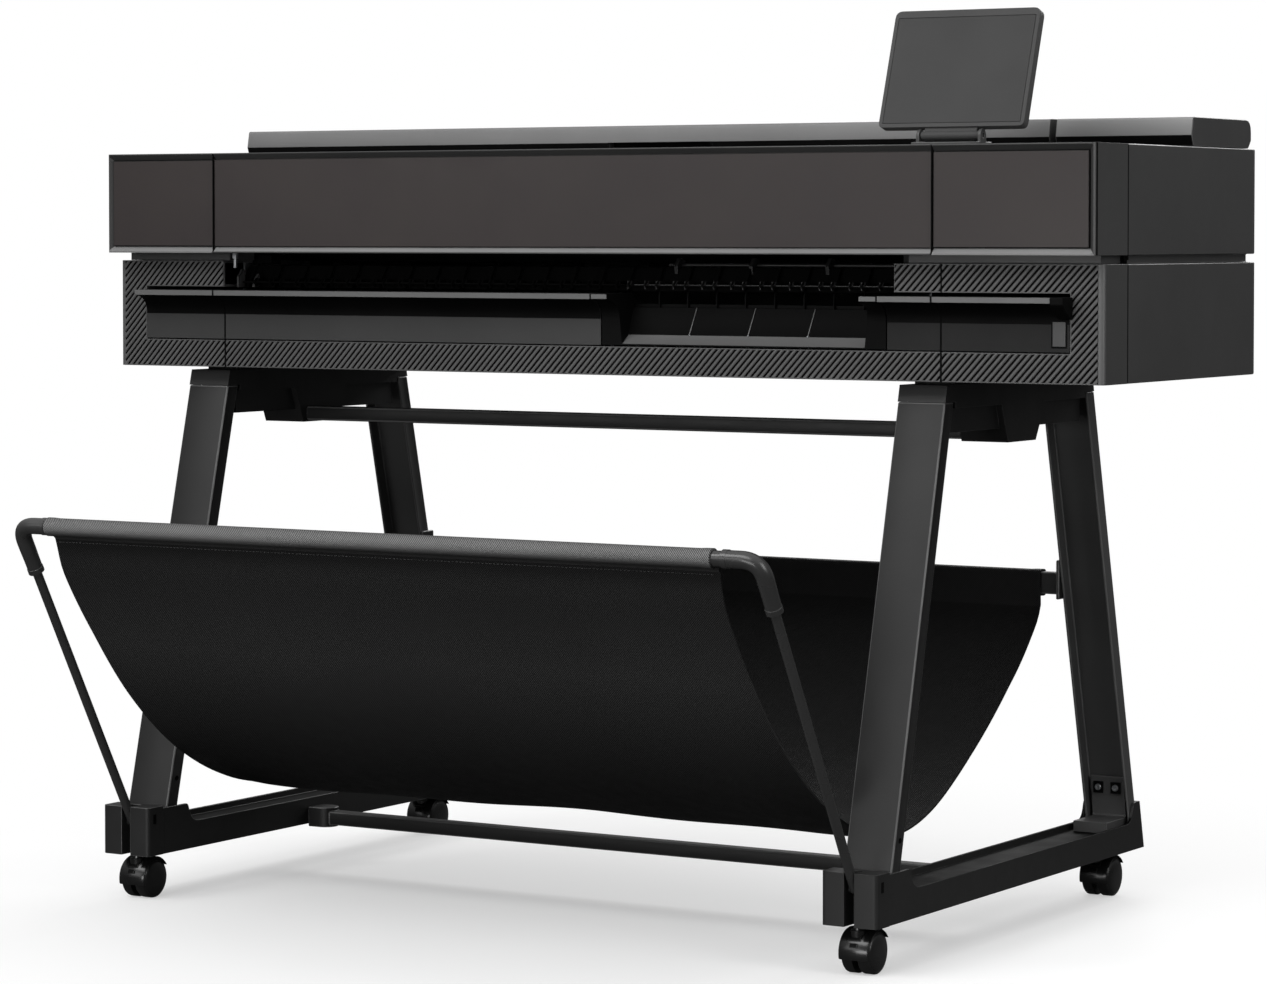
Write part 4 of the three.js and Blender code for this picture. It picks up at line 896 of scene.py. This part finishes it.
BEND = 24.0                      # how far from the corner an elbow starts to turn
tubes = Shape()
elbows = Shape()
tubes.tube([(-545.5, BAR_Y, BAR_Z), (428.5, BAR_Y, BAR_Z)], 9.0, 32)
for cx, inward in ((STAND_X["left"], 1), (STAND_X["right"], -1)):
    tubes.tube([(cx, PIVOT_Y, PIVOT_Z), on_rod(cx, 40)], 5.8, 28)
    tubes.tube([(cx - 22, PIVOT_Y, PIVOT_Z), (cx + 22, PIVOT_Y, PIVOT_Z)], 3.0, 20)
    path = [on_rod(cx, d) for d in (68, 67.4, 61, 60.4, 52, 45, 38, 31, BEND)]
    radii = [8.6, 10.1, 10.1, 9.5, 9.5, 9.6, 9.8, 9.9, 10.0]
    start, corner = on_rod(cx, BEND), on_rod(cx, 0)
    end = Vector((cx + inward * BEND, corner.y, corner.z))
    for i in range(1, 13):
        t = i / 12
        path.append(start * (1 - t) ** 2 + corner * (2 * t * (1 - t)) + end * (t * t))
        radii.append(10.0)
    for d in (31, 38, 38.6, 45.4, 46):
        path.append(Vector((cx + inward * d, corner.y, corner.z)))
    radii += [10.0, 10.0, 10.7, 10.7, 9.4]
    elbows.tube(path, radii, 32)
piece("basket_tubes", tubes, "basket_front", "bar_gloss", degrees=50, replaces=("basket_frame",))
piece("basket_elbows", elbows, "basket_front", "bar_gloss", degrees=34)

# ---------- basket cloth ----------

CLOTH_X0, CLOTH_X1 = -528.5, 400.5
CLOTH_WIDTH = CLOTH_X1 - CLOTH_X0
CLOTH_MIDDLE = (CLOTH_X0 + CLOTH_X1) / 2
HALF_THICKNESS = 0.55
HEM_WIDTH = 14                   # the ends are doubled over this far

# How the sheet hangs from the front bar down to its lowest place and up to the rear bar, as Y and Z.
SAG = [(-452.6, 483.0), (-446, 462), (-432, 424), (-382, 350), (-312, 268), (-227, 198), (-132, 150),
       (-37, 129), (68, 148), (188, 212), (288, 284), (346, 344), (361, 372)]


def through(points, count):
    """Points at even steps along a smooth curve through the given ones."""
    fine = []
    for i in range(len(points) - 1):
        p0 = Vector(points[max(i - 1, 0)])
        p1, p2 = Vector(points[i]), Vector(points[i + 1])
        p3 = Vector(points[min(i + 2, len(points) - 1)])
        for k in range(24):
            t = k / 24
            fine.append(0.5 * (2 * p1 + (p2 - p0) * t + (2 * p0 - 5 * p1 + 4 * p2 - p3) * t * t
                               + (3 * p1 - p0 - 3 * p2 + p3) * t ** 3))
    fine.append(Vector(points[-1]))
    lengths = [0.0]
    for a, b in zip(fine, fine[1:]):
        lengths.append(lengths[-1] + (b - a).length)
    out, j = [], 0
    for i in range(count):
        want = lengths[-1] * i / (count - 1)
        while j < len(fine) - 2 and lengths[j + 1] < want:
            j += 1
        t = (want - lengths[j]) / max(lengths[j + 1] - lengths[j], 1e-9)
        out.append(fine[j].lerp(fine[j + 1], t))
    return out


def cloth_path():
    """The sheet's section: hem, round the front bar, down through the sag, round the flat rear bar."""
    radius = 10.3
    hem = [(-446.6, 466.0), (-450.4, 473.4)]
    loop = []
    for degrees in range(-62, -372, -10):
        a = math.radians(degrees)
        loop.append((BAR_Y + radius * math.cos(a), BAR_Z + radius * math.sin(a)))
    front = through([*hem, *loop, SAG[0]], 52)
    sag = through(SAG, 92)
    y0, y1, z0, z1 = 360.4, 375.6, 384.4, 415.6
    rear = through([SAG[-1], (y0 + 0.4, 380), (y0, 388), (y0, 412), (y0 + 3, z1), (y1 - 3, z1), (y1, 412),
                    (y1, 388), (y1 - 3, z0), (y0 + 4, z0)], 40)
    return front + sag[1:] + rear[1:]


def bell(distance, width):
    return math.exp(-((distance / width) ** 2))


def cloth_vertices(path, lengths, columns):
    """Two faces a thread apart, with soft waves and slightly curled ends where the sheet hangs free."""
    total, last = lengths[-1], len(path) - 1
    verts, uvs = [], []
    for layer in (HALF_THICKNESS, -HALF_THICKNESS):
        for i, p in enumerate(path):
            along = (path[min(i + 1, last)] - path[max(i - 1, 0)]).normalized()
            out = Vector((-along.y, along.x))
            s = lengths[i]
            front_gap = max(0.0, min(1.0, (s - 95) / 130))
            rear_gap = max(0.0, min(1.0, (total - 100 - s) / 130))
            free = front_gap * rear_gap
            near_front = bell(s - 150, 120) * front_gap
            for k in range(columns + 1):
                u = k / columns
                x = CLOTH_X0 + CLOTH_WIDTH * u
                wave = 1.6 * math.sin(u * 9.1 + s * 0.0035 + 0.6) + 1.1 * math.sin(u * 21.3 - s * 0.006)
                wave += 0.9 * near_front * math.sin(u * 64 + 2.2 * math.sin(u * 11))
                curl = 1.92 * free * (bell(u, 0.03) + bell(1 - u, 0.03))
                hem = 2.0 if min(u, 1 - u) * CLOTH_WIDTH < HEM_WIDTH else 1.0
                q = p + out * (free * wave + curl + layer * hem)
                narrow = 1.0 - 0.004 * free
                verts.append(((x - CLOTH_MIDDLE) * narrow + CLOTH_MIDDLE, q.x, q.y))
                uvs.append((x * MM, s * MM))
    return verts, uvs


def cloth_faces(rows, columns):
    """Both faces of the sheet, its two ends and its two hems."""
    stride = columns + 1
    back = rows * stride
    faces = []
    for i in range(rows - 1):
        for k in range(columns):
            a = i * stride + k
            faces.append([a, a + 1, a + stride + 1, a + stride])
            b = back + a
            faces.append([b, b + stride, b + stride + 1, b + 1])
    for i in range(rows - 1):
        for k in (0, columns):
            a, b = i * stride + k, (i + 1) * stride + k
            faces.append([a, b, back + b, back + a])
    for k in range(columns):
        for i in (0, rows - 1):
            a = i * stride + k
            faces.append([a, back + a, back + a + 1, a + 1])
    return faces


def basket_cloth():
    """One sheet with its flat measure as UV, bent between the fixed body and the front frame."""
    path = cloth_path()
    columns = 110
    lengths = [0.0]
    for a, b in zip(path, path[1:]):
        lengths.append(lengths[-1] + (b - a).length)
    verts, uvs = cloth_vertices(path, lengths, columns)
    mesh = bpy.data.meshes.new("basket_sheet")
    mesh.from_pydata([[c * MM for c in v] for v in verts], [], cloth_faces(len(path), columns))
    flat = mesh.uv_layers.new(name="flat")
    for loop in mesh.loops:
        flat.data[loop.index].uv = uvs[loop.vertex_index]
    work = bmesh.new()
    work.from_mesh(mesh)
    bmesh.ops.recalc_face_normals(work, faces=work.faces)
    work.to_mesh(mesh)
    work.free()
    smooth(mesh, 60)
    sheet = bpy.data.objects.new("basket_sheet", mesh)
    bpy.context.scene.collection.objects.link(sheet)
    mesh.materials.append(FINISH["basket_fabric"])
    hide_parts("basket_cloth")
    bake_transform(sheet)


basket_cloth()

STITCH_PITCH = 5.1
stitches = Shape()
for i in range(180):
    x = CLOTH_X0 + 6 + i * STITCH_PITCH
    stitches.tube([(x, -449.9, 468.4), (x + 0.6, -450.7, 468.0), (x + 2.8, -450.7, 468.0),
                   (x + 3.4, -449.9, 468.4)], 0.35, 6)
piece("sleeve_stitches", stitches, "basket_front", "basket_fabric", degrees=60, material=EDGE["shell"])

# ---------- floor, light and camera ----------


def studio_floor():
    """A floor that the camera sees almost white, and that gives the object little light from below."""
    bpy.ops.mesh.primitive_circle_add(vertices=96, radius=60, fill_type="NGON", location=(0, 0, 0))
    floor = bpy.context.active_object
    floor.name = "studio_floor"
    mat, tree, shader, coords = new_material("pale_floor")
    seen = tree.nodes.new("ShaderNodeLightPath").outputs["Is Camera Ray"]
    tree.links.new(spread(tree, seen, 0.14, 0.88, 0.0, 1.0), shader.inputs["Base Color"])
    tree.links.new(spread(tree, noise(tree, coords.outputs["Object"], 3.0), 0.55, 0.65),
                   shader.inputs["Roughness"])
    shader.inputs["Specular IOR Level"].default_value = 0.2
    glow = tree.nodes.new("ShaderNodeEmission")
    glow.inputs["Color"].default_value = (1, 1, 1, 1)
    tree.links.new(spread(tree, seen, 0.04, 1.0, 0.0, 1.0), glow.inputs["Strength"])
    distance = tree.nodes.new("ShaderNodeVectorMath")
    distance.operation = "LENGTH"
    tree.links.new(coords.outputs["Object"], distance.inputs[0])
    fade = spread(tree, distance.outputs["Value"], 0.42, 1.0, 0.5, 1.5)
    mix = tree.nodes.new("ShaderNodeMixShader")
    tree.links.new(fade, mix.inputs["Fac"])
    tree.links.new(shader.outputs["BSDF"], mix.inputs[1])
    tree.links.new(glow.outputs["Emission"], mix.inputs[2])
    tree.links.new(mix.outputs["Shader"], tree.nodes["Material Output"].inputs["Surface"])
    floor.data.materials.append(mat)


def softbox(name, place, aim, size, power):
    data = bpy.data.lights.new(name, "AREA")
    data.shape = "RECTANGLE"
    data.size, data.size_y = size
    data.energy = power
    lamp = bpy.data.objects.new(name, data)
    bpy.context.scene.collection.objects.link(lamp)
    lamp.location = place
    lamp.rotation_mode = "QUATERNION"
    lamp.rotation_quaternion = (Vector(aim) - Vector(place)).to_track_quat("-Z", "Y")


world = bpy.data.worlds.new("studio")
bpy.context.scene.world = world
world.use_nodes = True


def studio_world(tree):
    """A white backdrop to look at, and a dimmer surround that is brightest overhead to light the object."""
    backdrop = tree.nodes["Background"]
    backdrop.inputs["Color"].default_value = (1, 1, 1, 1)
    backdrop.inputs["Strength"].default_value = 1.0
    coords = tree.nodes.new("ShaderNodeTexCoord")
    height = tree.nodes.new("ShaderNodeSeparateXYZ")
    tree.links.new(coords.outputs["Generated"], height.inputs["Vector"])
    surround = tree.nodes.new("ShaderNodeBackground")
    shades = ramp(tree, height.outputs["Z"], [(0.0, (0.10, 0.10, 0.10, 1)), (0.3, (0.22, 0.22, 0.22, 1)),
                                              (1.0, (1.0, 1.0, 1.0, 1))])
    tree.links.new(shades, surround.inputs["Color"])
    path = tree.nodes.new("ShaderNodeLightPath")
    mix = tree.nodes.new("ShaderNodeMixShader")
    tree.links.new(path.outputs["Is Camera Ray"], mix.inputs["Fac"])
    tree.links.new(surround.outputs["Background"], mix.inputs[1])
    tree.links.new(backdrop.outputs["Background"], mix.inputs[2])
    tree.links.new(mix.outputs["Shader"], tree.nodes["World Output"].inputs["Surface"])


studio_world(world.node_tree)
studio_floor()
softbox("key", (-0.8, -2.9, 3.4), (0, 0, 0.5), (3.6, 1.8), 105)
softbox("front", (-2.0, -3.8, 1.4), (-0.2, 0, 0.6), (2.4, 1.2), 20)
softbox("side", (2.4, -0.7, 1.2), (0.7, -0.1, 0.75), (0.8, 1.2), 17)
softbox("low", (0.2, -3.2, 0.35), (0.3, 0.3, 0.5), (1.6, 0.5), 26)
softbox("rear", (0.2, 3.2, 2.6), (0, 0.2, 0.6), (3.4, 1.6), 75)

# The photo's camera, solved from its level and upright edges.
camera_data = bpy.data.cameras.new("camera")
camera = bpy.data.objects.new("camera", camera_data)
bpy.context.scene.collection.objects.link(camera)
camera_data.lens = 115.73
camera_data.sensor_width = 36.0
camera_data.sensor_fit = "HORIZONTAL"
camera_data.shift_y = -0.0950
camera_data.clip_start, camera_data.clip_end = 0.05, 200.0
camera.location = (2.6268, -4.2964, 0.8413)
camera.rotation_euler = (math.radians(90 - 1.943), 0, math.radians(31.27))
bpy.context.scene.camera = camera
bpy.context.scene.view_settings.view_transform = "Standard"
